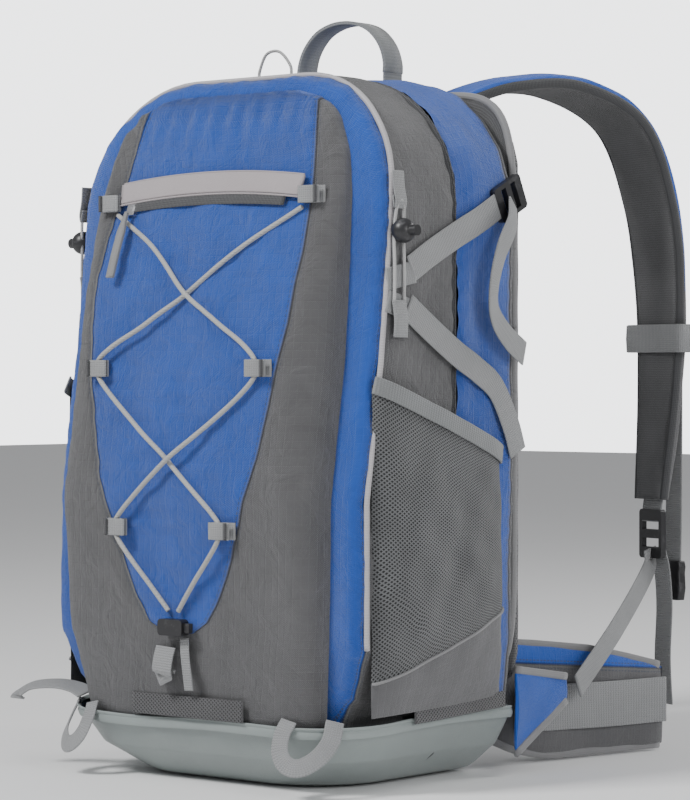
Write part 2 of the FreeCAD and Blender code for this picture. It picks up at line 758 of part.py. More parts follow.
def makeSternumStrap(sign, side):
    # A sleeve that slides on the shoulder strap, with half of the sternum strap on it.
    place = strapPlace(sign)
    play = 1.8
    half = size("strapWidth / 2") + play
    front = 241.5 - size("strapThick / 2 + liningThick + clearance") - play
    rear = 241.5 + size("strapThick / 2") + play
    wall = 1.6
    outer = Part.makeBox(2 * half + 2 * wall, rear - front + 2 * wall, 24,
                         Vector(-half - wall, front - wall, 318))
    inner = Part.makeBox(2 * half, rear - front, 26, Vector(-half, front, 317))
    feature("sternum_slider_" + side, outer.cut(inner), place)
    y = rear + wall + 2
    outward = place.Rotation.multVec(Vector(0, 1, 0))
    path = [place.multVec(Vector(0, y, z)) for z in (330, 250, 146)]
    webbing = ribbon(path, [outward] * 3, size("webWidth"), size("webThick"))
    buckle = Part.makeBox(24, 9, 30, Vector(-12, y - 3, 115))
    if sign > 0:
        slot = Part.makeBox(17, 5.4, 20, Vector(-8.5, y - 1.2, 114))
        buckle = buckle.cut(slot)
    else:
        tooth = Part.makeBox(14, 4.4, 16, Vector(-7, y - 0.7, 99.5))
        buckle = buckle.fuse(tooth).removeSplitter()
    buckle.Placement = place
    feature("sternum_strap_" + side, Part.makeCompound([webbing, buckle]))


def wingPlace(sign):
    # A hip belt wing is drawn in the YZ plane and turned out from its root.
    turn = Rotation(Vector(0, 0, 1), -sign * size("wingTurn"))
    return Placement(Vector(sign * 104, backFace + 3, 0), turn)


def makeWing(sign, side):
    # The padded wing, the belt webbing on it, and the folded-in end with its buckle.
    place = wingPlace(sign)
    outline = [("0", "24"), ("60", "3"), ("wingLength", "3"), ("wingLength", "66"),
               ("110", "84"), ("0", "96")]
    wing = polygonPiece("hip_wing_" + side, "YZ_Plane", "-1 * wingThick / 2", outline, "wingThick")
    wing.Placement = place
    keep(wing, "hip_wing_" + side)
    thick = size("wingThick") / 2
    length = size("wingLength")
    outward = place.Rotation.multVec(Vector(sign, 0, 0))
    path = [place.multVec(Vector(sign * (thick + 0.4), y, 40)) for y in (30, length - 2)]
    feature("hip_webbing_" + side, ribbon(path, [outward] * 2, 38, size("webThick")))
    lay = -sign * (thick + 5)
    path = [place.multVec(Vector(lay, y, 40)) for y in (length - 2, length - 84)]
    strapEnd = ribbon(path, [outward] * 2, 38, size("webThick"))
    width = 12
    corner = Vector(min(lay, lay - sign * width) - sign * 1 + sign * 5, length - 136, 15)
    buckle = Part.makeBox(width, 50, 50, corner)
    if sign > 0:
        slot = Part.makeBox(width - 5, 36, 38, corner + Vector(2.5, -1, 6))
        buckle = buckle.cut(slot)
    buckle.Placement = place
    feature("hip_buckle_" + side, Part.makeCompound([strapEnd, buckle]))


def makeHaulLoop():
    # Feet sewn to the top, and the loop of webbing that stands on them.
    half = size("haulHalf")
    top = size("bodyHeight + clearance")
    y = size("backPlane") - 14
    width = size("haulWidth")
    feet = []
    for sign in (1, -1):
        foot = Part.makeBox(26, width, 1.6, Vector(sign * half - 13, y - width / 2, top))
        stub = Part.makeBox(2.4, width, 5, Vector(sign * half - 1.2, y - width / 2, top + 1))
        feet.append(foot.fuse(stub).removeSplitter())
    feature("haul_loop_feet", Part.makeCompound(feet))
    low = top + 6 + 7.6
    high = top + size("haulRise")
    points = [Vector(x, y, z) for x, z in ((-half, low), (-half, high - 20), (-half + 20, high),
                                           (half - 20, high), (half, high - 20), (half, low))]
    loop = band(points, 2.2, width, Vector(0, 1, 0), [18, 22, 22, 18])
    feature("haul_loop", loop)


for sign, side in leftAndRight:
    makeShoulderStrap(sign, side)
    makeLadderLock(sign, side)
    makeLowerWebbing(sign, side)
    makeSternumStrap(sign, side)
    makeWing(sign, side)
makeStrapAnchors()
makeHaulLoop()


# Zips, laces and locks ------------------------------------------------------------


def makeZipSliders():
    # The two sliders of the main zip meet on top; the third runs under the front flap.
    top = size("bodyHeight + clearance")
    y = size("seamPlane")
    for side, x in (("right", -8), ("left", -50)):
        block = Part.makeBox(11, 9, 3, Vector(x - 5.5, y - 4.5, top + 0.2))
        bridge = Part.makeBox(7, 2.4, 2.6, Vector(x - 3.5, y - 1.2, top + 3.1))
        window = Part.makeBox(3.4, 4, 1.4, Vector(x - 1.7, y - 2, top + 3.3))
        feature("main_slider_" + side, block.fuse(bridge).cut(window).removeSplitter())
    loop = [(-8, 4), (-9, 14), (-20, 25), (-33, 24), (-40, 12), (-41, 4.5)]
    points = [Vector(x, y, top + 3 + z) for x, z in loop]
    feature("zip_loop_right", tube("zip_loop_right", points, size("thinCord")))
    tab = Part.makeBox(16, 8, 2.2, Vector(-64 - 8, y - 4, top + 4.4))
    feature("zip_tab_left", tab)


# The plane of the front pocket at the band: down along it, and out of it.
slopeDown = Vector(0, size("frontShoulder - frontBand"), size("levelShoulder - levelBand")).normalize()
slopeOut = Vector(0, slopeDown.z, -slopeDown.y)


def makeFrontSlider():
    # The front zip's slider at its left end, with a cord and tab that hang from it.
    x = -78
    middle = Vector(x, onFront(size("levelBand") - 5) - 2.2, size("levelBand") - 5)
    turn = Rotation(Vector(0, 0, -1), slopeDown)
    block = Part.makeBox(8, 3.8, 12, Vector(-4, -3.8, -6))
    feature("front_slider", block, Placement(middle, turn))
    start = middle + slopeDown * 3 + slopeOut * 6.2
    strip = ribbon([start, start + slopeDown * 54], [slopeOut] * 2, 7, 1.8)
    feature("front_puller", strip)


def laceRoute(sign):
    # One strand from its start to the lock, crossing over to the other side and back.
    # Each place: distance across, level, and whether it is held in a loop.
    top, high, low = laceStart, laceHigh, laceLow
    places = [(3 - top[0], top[1] - 9, False), (-50, 398, False), (-6, 365, False),
              (6, 356, False), (42, 334, False),
              (high[0] + 3.4, high[1] + 8, True), (high[0] + 3.4, high[1] - 8, True),
              (42, 268, False), (6, 242, False), (-6, 232, False),
              (-low[0] - 3.4, low[1] + 8, True), (-low[0] - 3.4, low[1] - 8, True),
              (-20, 146, False), (-5, 128, False)]
    crossings = (2, 3, 8, 9)
    points = []
    for i, (x, z, held) in enumerate(places):
        y = tabFace(laceHigh[1] if z > 240 else laceLow[1]) - 3.3 if held else onFront(z) - 3.8
        if i in crossings and sign > 0:
            y -= 4.4
        points.append(Vector(sign * x, y, z))
    return points


def makeLace():
    # The two strands of the front lace, the lock that draws them and its ends.
    for sign, side in leftAndRight:
        shape = tube("front_lace_" + side, laceRoute(sign), size("cordDiameter"))
        feature("front_lace_" + side, shape)
    y = onFront(117) - 6
    lock = Part.makeBox(24, 8.4, 12, Vector(-12, y - 4.2, 110))
    bore = Part.makeBox(9, 5, 8, Vector(4, y - 2.5, 112))
    lock = lock.makeFillet(3, [e for e in lock.Edges if isAlong(e, Vector(0, 1, 0))]).cut(bore)
    feature("front_lock", lock)
    button = Part.makeBox(8, 4.2, 7, Vector(9.5, y - 2.1, 112.5))
    feature("front_lock_button", button)
    low = onFront(88) - 2.4
    tab = ribbon([Vector(-9, onFront(100) - 2, 100), Vector(-10, low, 82)],
                 [Vector(0, -1, 0)] * 2, 20, 3)
    tape = ribbon([Vector(9, onFront(106) - 2, 106), Vector(10, onFront(72) - 2, 72)],
                  [Vector(0, -1, 0)] * 2, 8, 1.2)
    return [tab, tape]


def makeSideLoops(sign, side):
    # A cord doubled through a webbing tab, a ball lock on it and a tab at its ends.
    x = size(wallX)
    facing = [Vector(sign, 0, 0)] * 2
    reach = sign * (x + 5.6)
    line = [(-49, 352), (-49, 376), (-49.5, 398), (-49, 416), (-44, 426),
            (-39, 416), (-38.5, 398), (-38, 376), (-38, 352)]
    points = [Vector(reach, y, z) for y, z in line]
    feature("side_cord_" + side, tube("side_cord_" + side, points, size("thinCord")))
    ball = Part.makeSphere(9, Vector(reach + sign * 4.5, -44, 403))
    for y in (-49.2, -38.8):
        rim = Part.makeCylinder(1.9, 40, Vector(reach, y, 385))
        ball = ball.cut(rim)
    socket = Part.makeCylinder(4.4, 12, Vector(reach + sign * 4, -44, 403), Vector(sign, 0, 0))
    feature("side_lock_" + side, ball.cut(socket))
    start = Vector(reach + sign * 8.6, -44, 403)
    button = Part.makeCylinder(3.9, 9, start, Vector(sign, 0, 0))
    feature("side_lock_button_" + side, button)
    ends = [Vector(reach - sign * 1.4, -43.5, z) for z in (351.6, 328)]
    return ribbon(ends, facing, 15, 2.8)


makeZipSliders()
makeFrontSlider()
tabs = makeLace()
tabs += [makeSideLoops(sign, side) for sign, side in leftAndRight]
group("cord_tabs", tabs)


doc.recompute()
for thing in doc.Objects:
    assert "Invalid" not in thing.State and "Error" not in thing.State, thing.Label
for piece in pieces:
    assert not piece.Shape.isNull() and piece.Shape.isValid(), piece.Label

os.makedirs("parts", exist_ok=True)
for piece in pieces:
    piece.Shape.exportStep(f"parts/{piece.Label}.step")
print(len(pieces), "pieces")
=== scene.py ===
import json
import math
import bmesh
import bpy
import numpy as np
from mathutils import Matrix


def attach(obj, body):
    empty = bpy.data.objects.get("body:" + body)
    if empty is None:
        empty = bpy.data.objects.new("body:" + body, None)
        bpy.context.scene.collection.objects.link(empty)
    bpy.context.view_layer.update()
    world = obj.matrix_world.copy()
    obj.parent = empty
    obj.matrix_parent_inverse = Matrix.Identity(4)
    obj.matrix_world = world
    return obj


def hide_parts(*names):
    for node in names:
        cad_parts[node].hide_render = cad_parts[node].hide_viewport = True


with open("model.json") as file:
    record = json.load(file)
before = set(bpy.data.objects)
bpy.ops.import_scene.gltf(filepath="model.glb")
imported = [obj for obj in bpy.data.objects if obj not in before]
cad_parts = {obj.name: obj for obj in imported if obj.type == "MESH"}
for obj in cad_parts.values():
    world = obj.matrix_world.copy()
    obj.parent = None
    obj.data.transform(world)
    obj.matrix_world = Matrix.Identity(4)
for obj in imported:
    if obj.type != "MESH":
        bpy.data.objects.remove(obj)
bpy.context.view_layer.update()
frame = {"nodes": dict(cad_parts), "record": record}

# Daypack, in metres. The front pocket faces -Y, the harness faces +Y, +Z is up.
mm = 0.001


def unit(v):
    # each row divided by its length
    return v / np.maximum(np.linalg.norm(v, axis=-1, keepdims=True), 1e-12)


def squared(v, power):
    # sign(v) |v|^p, which makes a circle's cosine and sine squarer
    return np.sign(v) * np.abs(v) ** power


def resample(points, count):
    # even steps along the polyline's length
    points = np.asarray(points, float)
    steps = np.linalg.norm(np.diff(points, axis=0), axis=1)
    at = np.concatenate([[0], np.cumsum(steps)])
    goal = np.linspace(0, at[-1], count)
    return np.stack([np.interp(goal, at, points[:, k]) for k in range(points.shape[1])], 1)


def smoothLine(points, count):
    # Catmull-Rom curve through the points, then even steps
    p = np.asarray(points, float)
    p = np.vstack([2 * p[0] - p[1], p, 2 * p[-1] - p[-2]])
    segments = len(p) - 3
    t = np.linspace(0, segments - 1e-6, 40 * segments)
    i = t.astype(int)
    f = (t - i)[:, None]
    a, b, c, d = p[i], p[i + 1], p[i + 2], p[i + 3]
    curve = 0.5 * (2 * b + (c - a) * f + (2 * a - 5 * b + 4 * c - d) * f ** 2
                   + (3 * b - a - 3 * c + d) * f ** 3)
    return resample(curve, count)


def folds(p, amount, size, seed):
    # sum of eight sine waves in random directions: soft uneven creases
    rng = np.random.default_rng(seed)
    total = 0
    for _ in range(8):
        direction = unit(rng.normal(size=3))
        wave = size * rng.uniform(0.6, 1.8)
        total = total + np.sin(p @ direction * 2 * math.pi / wave + rng.uniform(0, 6.28)) / 8
    return total * amount * 1.8


def gridMesh(name, grid, uv=None, wrap=False, caps=False, attributes=None, weld=False):
    # a surface from a grid of points; wrap joins the last column to the first
    rows, cols = grid.shape[:2]
    across = cols if wrap else cols - 1
    i, j = np.meshgrid(np.arange(rows - 1), np.arange(across), indexing="ij")
    k = (j + 1) % cols
    faces = np.stack([i * cols + j, i * cols + k, (i + 1) * cols + k, (i + 1) * cols + j], -1)
    faces = faces.reshape(-1, 4)
    mesh = bpy.data.meshes.new(name)
    polygons = faces.tolist()
    if caps:
        polygons += [list(range(cols))[::-1], list(range((rows - 1) * cols, rows * cols))]
    mesh.from_pydata(grid.reshape(-1, 3).tolist(), [], polygons)
    if uv is None:
        u, v = np.meshgrid(np.arange(rows), np.arange(across + 1), indexing="ij")
        uv = np.stack([u / rows, v / cols], -1).astype(float)
    corner = np.stack([uv[i, j], uv[i, j + 1], uv[i + 1, j + 1], uv[i + 1, j]], 2).reshape(-1, 2)
    if caps:
        corner = np.vstack([corner, np.zeros((2 * cols, 2))])
    layer = mesh.uv_layers.new(name="UVMap")
    layer.data.foreach_set("uv", corner.ravel())
    for key, values in (attributes or {}).items():
        layer = mesh.attributes.new(key, "FLOAT", "POINT")
        layer.data.foreach_set("value", np.asarray(values, float).ravel())
    mesh.polygons.foreach_set("use_smooth", [True] * len(mesh.polygons))
    if weld:
        work = bmesh.new()
        work.from_mesh(mesh)
        bmesh.ops.remove_doubles(work, verts=work.verts, dist=0.00002)
        bmesh.ops.recalc_face_normals(work, faces=work.faces)
        work.to_mesh(mesh)
        work.free()
    piece = bpy.data.objects.new(name, mesh)
    bpy.context.collection.objects.link(piece)
    return piece


def lengths(line):
    # running length along a line
    return np.concatenate([[0], np.cumsum(np.linalg.norm(np.diff(line, axis=0), axis=1))])


def uvGrid(u, v):
    # u along the rows, v along the columns
    return np.stack(np.meshgrid(u, v, indexing="ij"), -1)


def surfaceUv(grid):
    # metres along the middle row and the middle column
    rows, cols = grid.shape[:2]
    return uvGrid(lengths(grid[:, cols // 2]), lengths(grid[rows // 2]))


def scaledRings(line, centre, steps):
    # the outline scaled by each k about its centre, at the depth y given with it
    rings = []
    for k, y in steps:
        flat = centre + (line - centre) * k
        rings.append(np.stack([flat[:, 0], np.full(len(flat), y), flat[:, 1]], 1))
    return rings


def frames(line, facing):
    # side and out directions along a line, from the way it faces
    along = unit(np.gradient(line, axis=0))
    side = unit(np.cross(along, facing))
    return side, unit(np.cross(side, along))


def flatProfile(width, thick):
    # rounded bar section: two straight faces joined by half-round edges of radius thick / 2
    turn = np.linspace(-math.pi / 2, math.pi / 2, 7)
    r = thick / 2
    x = np.concatenate([width / 2 - r + r * np.cos(turn), -(width / 2 - r) - r * np.cos(turn)])
    y = np.concatenate([r * np.sin(turn), -r * np.sin(turn)])
    return np.stack([x, y + thick / 2], 1)


def padProfile(width, thick, power, count):
    # superellipse section: |x|^p + |y|^p = 1
    t = np.linspace(0, 2 * math.pi, count, endpoint=False)
    x = squared(np.cos(t), 2 / power)
    y = squared(np.sin(t), 2 / power)
    return np.stack([x * width / 2, y * thick / 2], 1)


def sweep(name, line, facing, profile, widths=None, thicks=None, puff=None, attributes=None):
    # a profile carried along a line, its two directions scaled on the way
    side, out = frames(line, np.broadcast_to(np.asarray(facing, float), line.shape))
    w = np.ones(len(line)) if widths is None else widths
    h = np.ones(len(line)) if thicks is None else thicks
    grid = (line[:, None] + side[:, None] * (profile[None, :, 0:1] * w[:, None, None])
            + out[:, None] * (profile[None, :, 1:2] * h[:, None, None]))
    if puff is not None:
        grid = grid + puff(grid)
    ring = lengths(np.vstack([profile, profile[:1]]))
    uv = uvGrid(lengths(line), ring)
    return gridMesh(name, grid, uv, wrap=True, caps=True, attributes=attributes)


def webbing(name, points, facing, width, thick, count):
    # flat woven strap along a smooth line, its facing given once or at each point
    line = smoothLine(points, count)
    facing = np.asarray(facing, float)
    if facing.ndim > 1:
        facing = unit(resample(facing, count))
    return sweep(name, line, facing, flatProfile(width, thick))


def tube(name, points, radius, count=80, sides=10, smooth=True):
    # round cord or bead along a line
    line = smoothLine(points, count) if smooth else np.asarray(points, float)
    facing = np.cross(np.gradient(line, axis=0), [0.31, 0.57, 0.76])
    t = np.linspace(0, 2 * math.pi, sides, endpoint=False)
    profile = np.stack([np.cos(t), np.sin(t)], 1) * radius
    return sweep(name, line, facing, profile)


def dress(piece, material, body="pack", nodes=()):
    # material, body and the CAD nodes that the piece stands for
    piece.data.materials.clear()
    for m in material if isinstance(material, (list, tuple)) else [material]:
        piece.data.materials.append(m)
    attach(piece, body)
    if nodes:
        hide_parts(*nodes)
    return piece


def sewn(name, points, facing, width, thick, count, body="pack", nodes=(), material=None):
    # a strap of webbing with its material, body and the CAD nodes that it stands for
    piece = webbing(name, points, facing, width, thick, count)
    return dress(piece, material or webCloth, body, nodes)


view = {"azimuth": 40, "distance": 2.3, "side": 0.053, "height": 0.30, "lens": 136.6,
        "tilt": 0.47}
turn = math.radians(view["azimuth"])
right = np.array([math.cos(turn), math.sin(turn), 0])
back = np.array([math.sin(turn), -math.cos(turn), 0])
camera = bpy.data.objects.new("camera", bpy.data.cameras.new("camera"))
camera.data.lens = view["lens"]
camera.location = back * view["distance"] + right * view["side"] + [0, 0, view["height"]]
camera.rotation_euler = (math.radians(90 - view["tilt"]), 0, turn)
bpy.context.collection.objects.link(camera)
bpy.context.scene.camera = camera


def areaLight(name, place, aim, width, power):
    # square soft light turned towards a point
    data = bpy.data.lights.new(name, "AREA")
    data.energy = power
    data.size = width
    light = bpy.data.objects.new(name, data)
    light.location = place
    gap = np.asarray(aim, float) - np.asarray(place, float)
    level = math.hypot(gap[0], gap[1])
    light.rotation_euler = (math.atan2(level, -gap[2]), 0, math.atan2(-gap[0], gap[1]))
    bpy.context.collection.objects.link(light)


# place, aim, width and watts of each light, then the sky's strength on the object and as seen
lights = {"key": ((-0.5, -1.6, 1.9), (0, 0, 0.3), 0.6, 52),
          "side": ((2.1, -0.6, 0.9), (0, 0.05, 0.3), 0.9, 20),
          "rear": ((0.8, 1.9, 1.5), (0, 0.1, 0.3), 0.8, 18)}
backdrop = {"color": (0.93, 0.94, 0.96, 1), "onObject": 0.42, "seen": 3.5, "floorHalf": 8,
            "floorLevel": -0.0015}
for name, facts in lights.items():
    areaLight(name, *facts)
world = bpy.data.worlds.new("world")
world.use_nodes = True
worldNodes = world.node_tree
sky = worldNodes.nodes["Background"]
sky.inputs[0].default_value = backdrop["color"]
rays = worldNodes.nodes.new("ShaderNodeLightPath")
strength = worldNodes.nodes.new("ShaderNodeMapRange")
worldNodes.links.new(rays.outputs["Is Camera Ray"], strength.inputs[0])
strength.inputs[3].default_value = backdrop["onObject"]
strength.inputs[4].default_value = backdrop["seen"]
worldNodes.links.new(strength.outputs[0], sky.inputs[1])
bpy.context.scene.world = world
floorMesh = bpy.data.meshes.new("floor")
floorMesh.from_pydata([(x * backdrop["floorHalf"], y * backdrop["floorHalf"], backdrop["floorLevel"])
                       for x, y in ((-1, -1), (1, -1), (1, 1), (-1, 1))], [], [(0, 1, 2, 3)])
floor = bpy.data.objects.new("floor", floorMesh)
bpy.context.collection.objects.link(floor)
print("camera, lights and floor made")


class Nodes:
    # short way to add nodes to a tree and link them
    def __init__(self, tree):
        self.tree = tree

    def add(self, kind, settings=None, **inputs):
        node = self.tree.nodes.new("ShaderNode" + kind)
        for key, value in (settings or {}).items():
            setattr(node, key, value)
        for key, value in inputs.items():
            socket = node.inputs[int(key[1:])] if key[1:].isdigit() else node.inputs[key.replace("_", " ")]
            if isinstance(value, bpy.types.NodeSocket):
                self.tree.links.new(value, socket)
            else:
                socket.default_value = value
        return node

    def link(self, a, b):
        self.tree.links.new(a, b)

    def math(self, operation, a, b=0.5):
        return self.add("Math", {"operation": operation}, i0=a, i1=b).outputs[0]

    def plus(self, a, b):
        return self.math("ADD", a, b)

    def less(self, a, b):
        return self.math("SUBTRACT", a, b)

    def times(self, a, b):
        return self.math("MULTIPLY", a, b)

    def over(self, a, b):
        return self.math("DIVIDE", a, b)

    def mix(self, share, a, b):
        node = self.add("Mix", {"data_type": "RGBA"}, i0=share, i6=a, i7=b)
        return node.outputs[2]

    def ramp(self, value, low, high, start=0.0, end=1.0):
        # value carried from one range to another, held at the ends
        node = self.add("MapRange", None, i0=value, i1=low, i2=high, i3=start, i4=end)
        return node.outputs[0]

    def noise(self, vector, scale, detail=3.0, rough=0.5, twist=0.0):
        node = self.add("TexNoise", None, Vector=vector, Scale=scale, Detail=detail,
                        Roughness=rough, Distortion=twist)
        return node.outputs[0]


def newGroup(name, inputs, outputs):
    # empty node group with its sockets, and its two end nodes
    tree = bpy.data.node_groups.new(name, "ShaderNodeTree")
    for label, kind, value in inputs:
        socket = tree.interface.new_socket(label, in_out="INPUT", socket_type="NodeSocket" + kind)
        if value is not None:
            socket.default_value = value
    for label in outputs:
        tree.interface.new_socket(label, in_out="OUTPUT", socket_type="NodeSocketFloat")
    n = Nodes(tree)
    start = tree.nodes.new("NodeGroupInput")
    end = tree.nodes.new("NodeGroupOutput")
    return n, start.outputs, end.inputs


def makeWeave():
    # woven cloth: crossed threads, a ripstop grid and soft crinkles, as a tone and a height; the crinkles'
    # share of the tone is painted shading, lighter where they rise and darker in the creases
    n, start, end = newGroup("clothWeave", [("Place", "Vector", None), ("Flat", "Vector", None),
                             ("Thread", "Float", 0.0012), ("Grid", "Float", 0.006),
                             ("Crinkle", "Float", 0.5)], ["Tone", "Height"])
    flat = n.add("SeparateXYZ", None, i0=start[1]).outputs
    turnPer = n.over(2 * math.pi, start[2])
    a = n.math("SINE", n.times(flat[0], turnPer))
    b = n.math("SINE", n.times(flat[1], turnPer))
    threads = n.times(a, b)
    lines = []
    for axis in (0, 1):
        place = n.math("FRACT", n.over(flat[axis], start[3]))
        lines.append(n.ramp(n.math("ABSOLUTE", n.less(place, 0.5)), 0.40, 0.47))
    rip = n.math("MAXIMUM", lines[0], lines[1])
    crease = n.noise(start[0], 55, 5, 0.62, 1.2)
    wide = n.noise(start[0], 14, 3, 0.5, 0.6)
    soft = n.times(n.plus(crease, wide), start[4])
    tone = n.plus(n.times(threads, 0.05), n.times(rip, 0.05))
    # painted shading of the crinkles: the values that raise them also lighten the colour
    tone = n.plus(tone, n.times(soft, 0.30))
    height = n.plus(n.times(threads, 0.12), n.times(rip, 0.12))
    height = n.plus(height, soft)
    n.link(tone, end[0])
    n.link(height, end[1])
    return n.tree


def makeStitch():
    # two rows of stitches beside a seam, at a distance from it, dashed along it
    n, start, end = newGroup("stitchRows", [("Distance", "Float", 0.0), ("Along", "Float", 0.0),
                             ("Off", "Float", 0.003), ("Step", "Float", 0.0035)],
                             ["Stitch", "Groove"])
    away = n.math("ABSOLUTE", n.less(n.math("ABSOLUTE", start[0]), start[2]))
    row = n.ramp(away, 0.0003, 0.0007, 1.0, 0.0)
    dash = n.math("GREATER_THAN", n.math("FRACT", n.over(start[1], start[3])), 0.32)
    n.link(n.times(row, dash), end[0])
    # the Groove band is the seam's recess for the bump, and the place of its painted shade
    n.link(n.ramp(n.math("ABSOLUTE", start[0]), 0.0004, 0.0016, 1.0, 0.0), end[1])
    return n.tree


def makeNet():
    # open hexagonal net, as thread and hole, with an uneven pull
    n, start, end = newGroup("netCells", [("Flat", "Vector", None), ("Cell", "Float", 0.004),
                             ("Aspect", "Float", 1.0), ("Pull", "Float", 0.001)],
                             ["Thread", "Height"])
    flat = n.add("SeparateXYZ", None, i0=start[0]).outputs
    pull = n.times(n.less(n.noise(start[0], 30, 2), 0.5), start[3])
    u = n.over(n.plus(flat[0], pull), start[1])
    v = n.over(n.plus(flat[1], pull), n.times(start[1], start[2]))
    a = n.math("PINGPONG", n.plus(u, v), 0.5)
    b = n.math("PINGPONG", n.less(u, v), 0.5)
    hole = n.times(n.math("MINIMUM", a, b), 2.0)
    thread = n.ramp(hole, 0.30, 0.55, 1.0, 0.0)
    n.link(thread, end[0])
    n.link(n.ramp(hole, 0.0, 0.6, 1.0, 0.0), end[1])
    return n.tree


def makeRibs():
    # webbing: crosswise ribs and a fine lengthwise twill, their raised tops painted paler and their hollows
    # darker as painted shading
    n, start, end = newGroup("webbingRibs", [("Flat", "Vector", None), ("Place", "Vector", None),
                             ("Rib", "Float", 0.0016)], ["Tone", "Height"])
    flat = n.add("SeparateXYZ", None, i0=start[0]).outputs
    turnPer = n.over(2 * math.pi, start[2])
    shift = n.times(n.math("SINE", n.times(flat[1], 2600)), 0.7)
    rib = n.math("SINE", n.plus(n.times(flat[0], turnPer), shift))
    cord = n.math("SINE", n.times(flat[1], 3900))
    height = n.plus(n.times(rib, 0.5), n.times(cord, 0.25))
    dust = n.noise(start[1], 40, 4, 0.6)
    # painted shading: the tone follows the rib and twill height; the noise adds random dust
    tone = n.plus(n.times(height, 0.10), n.times(dust, 0.25))
    n.link(tone, end[0])
    n.link(height, end[1])
    return n.tree


weaveGroup = makeWeave()
stitchGroup = makeStitch()
netGroup = makeNet()
ribGroup = makeRibs()


def useGroup(n, tree, **inputs):
    # a node that holds a group, each input linked or set
    node = n.tree.nodes.new("ShaderNodeGroup")
    node.node_tree = tree
    for key, value in inputs.items():
        if isinstance(value, bpy.types.NodeSocket):
            n.link(value, node.inputs[key])
        else:
            node.inputs[key].default_value = value
    return node.outputs


def startMaterial(name):
    # new material with its shader, its place on the object and its flat coordinates
    material = bpy.data.materials.new(name)
    material.use_nodes = True
    n = Nodes(material.node_tree)
    shader = material.node_tree.nodes["Principled BSDF"]
    coordinates = n.add("TexCoord").outputs
    return material, n, shader, coordinates["Object"], coordinates["UV"]


def shade(n, color, amount):
    # colour made lighter or darker by a value round zero
    node = n.add("HueSaturation", None, Color=color, Value=n.plus(amount, 1.0))
    return node.outputs[0]


def bumpTo(n, shader, height, strength, distance):
    # a height turned into the shader's normal
    bump = n.add("Bump", None, Strength=strength, Distance=distance, Height=height)
    n.link(bump.outputs[0], shader.inputs["Normal"])


def rgba(color):
    # colour with full alpha
    return (color[0], color[1], color[2], 1)


# stitch thread colour and its share; groove is a painted shade colour for the seam's recess, depth its share
seamLook = {"thread": (0.05, 0.06, 0.09, 1), "mark": 0.75, "groove": (0.01, 0.012, 0.02, 1), "depth": 0.7,
            "off": 0.003, "step": 0.0036}


def cloth(name, color, other=None, zone=None, thread=0.0014, grid=0.006, crinkle=0.5,
          rough=0.62, sheen=0.25, bump=0.5, coat=0.0):
    # woven fabric; where the attribute named in zone is above zero it takes the other colour
    material, n, shader, place, flat = startMaterial(name)
    weave = useGroup(n, weaveGroup, Place=place, Flat=flat, Thread=thread, Grid=grid,
                     Crinkle=crinkle)
    # the weave's tone centred on zero; its crinkle part is painted shading
    tone = n.less(weave[0], 0.30 * crinkle)
    if other:
        distance = n.add("Attribute", {"attribute_name": zone}).outputs["Fac"]
        along = n.add("SeparateXYZ", None, i0=flat).outputs[0]
        base = n.mix(n.ramp(distance, -0.0002, 0.0002), rgba(color), rgba(other))
        rows = useGroup(n, stitchGroup, Distance=distance, Along=along, Off=seamLook["off"],
                       Step=seamLook["step"])
        shaded = shade(n, base, tone)
        shaded = n.mix(n.times(rows[0], seamLook["mark"]), shaded, seamLook["thread"])
        # painted shade in the seam's groove
        shaded = n.mix(n.times(rows[1], seamLook["depth"]), shaded, seamLook["groove"])
        height = n.less(weave[1], n.times(rows[1], 0.8))
    else:
        shaded = shade(n, rgba(color), tone)
        height = weave[1]
    n.link(shaded, shader.inputs["Base Color"])
    roughness = n.ramp(n.noise(place, 25, 3), 0.3, 0.7, rough - 0.08, rough + 0.08)
    n.link(roughness, shader.inputs["Roughness"])
    shader.inputs["Sheen Weight"].default_value = sheen
    shader.inputs["Sheen Roughness"].default_value = 0.4
    shader.inputs["Coat Weight"].default_value = coat
    bumpTo(n, shader, height, bump, 0.0040)
    return material


def net(name, threadColor, holeShadeColor, cell, aspect=1.0, pull=0.002, rough=0.7, bump=0.7):
    # knitted mesh: pale threads over holes painted dark, a painted shade of the shadowed inside seen through
    # them
    material, n, shader, place, flat = startMaterial(name)
    cells = useGroup(n, netGroup, Flat=flat, Cell=cell, Aspect=aspect, Pull=pull)
    dust = n.less(n.noise(place, 30, 4, 0.6), 0.5)
    # the holes take a painted shade colour in place of the dark inside behind the mesh
    color = n.mix(cells[0], rgba(holeShadeColor), rgba(threadColor))
    n.link(shade(n, color, n.times(dust, 0.7)), shader.inputs["Base Color"])
    n.link(n.ramp(cells[1], 0, 1, rough + 0.15, rough - 0.1), shader.inputs["Roughness"])
    shader.inputs["Sheen Weight"].default_value = 0.2
    bumpTo(n, shader, cells[1], bump, 0.0012)
    return material


def strapCloth(name, color, rib=0.0018, rough=0.65, bump=0.6):
    # webbing or binding tape
    material, n, shader, place, flat = startMaterial(name)
    ribs = useGroup(n, ribGroup, Flat=flat, Place=place, Rib=rib)
    # rib tone centred, with its painted shading of tops and hollows
    tone = n.less(ribs[0], 0.12)
    n.link(shade(n, rgba(color), tone), shader.inputs["Base Color"])
    n.link(n.ramp(ribs[1], -0.7, 0.7, rough + 0.1, rough - 0.08), shader.inputs["Roughness"])
    shader.inputs["Sheen Weight"].default_value = 0.3
    bumpTo(n, shader, ribs[1], bump, 0.0006)
    return material


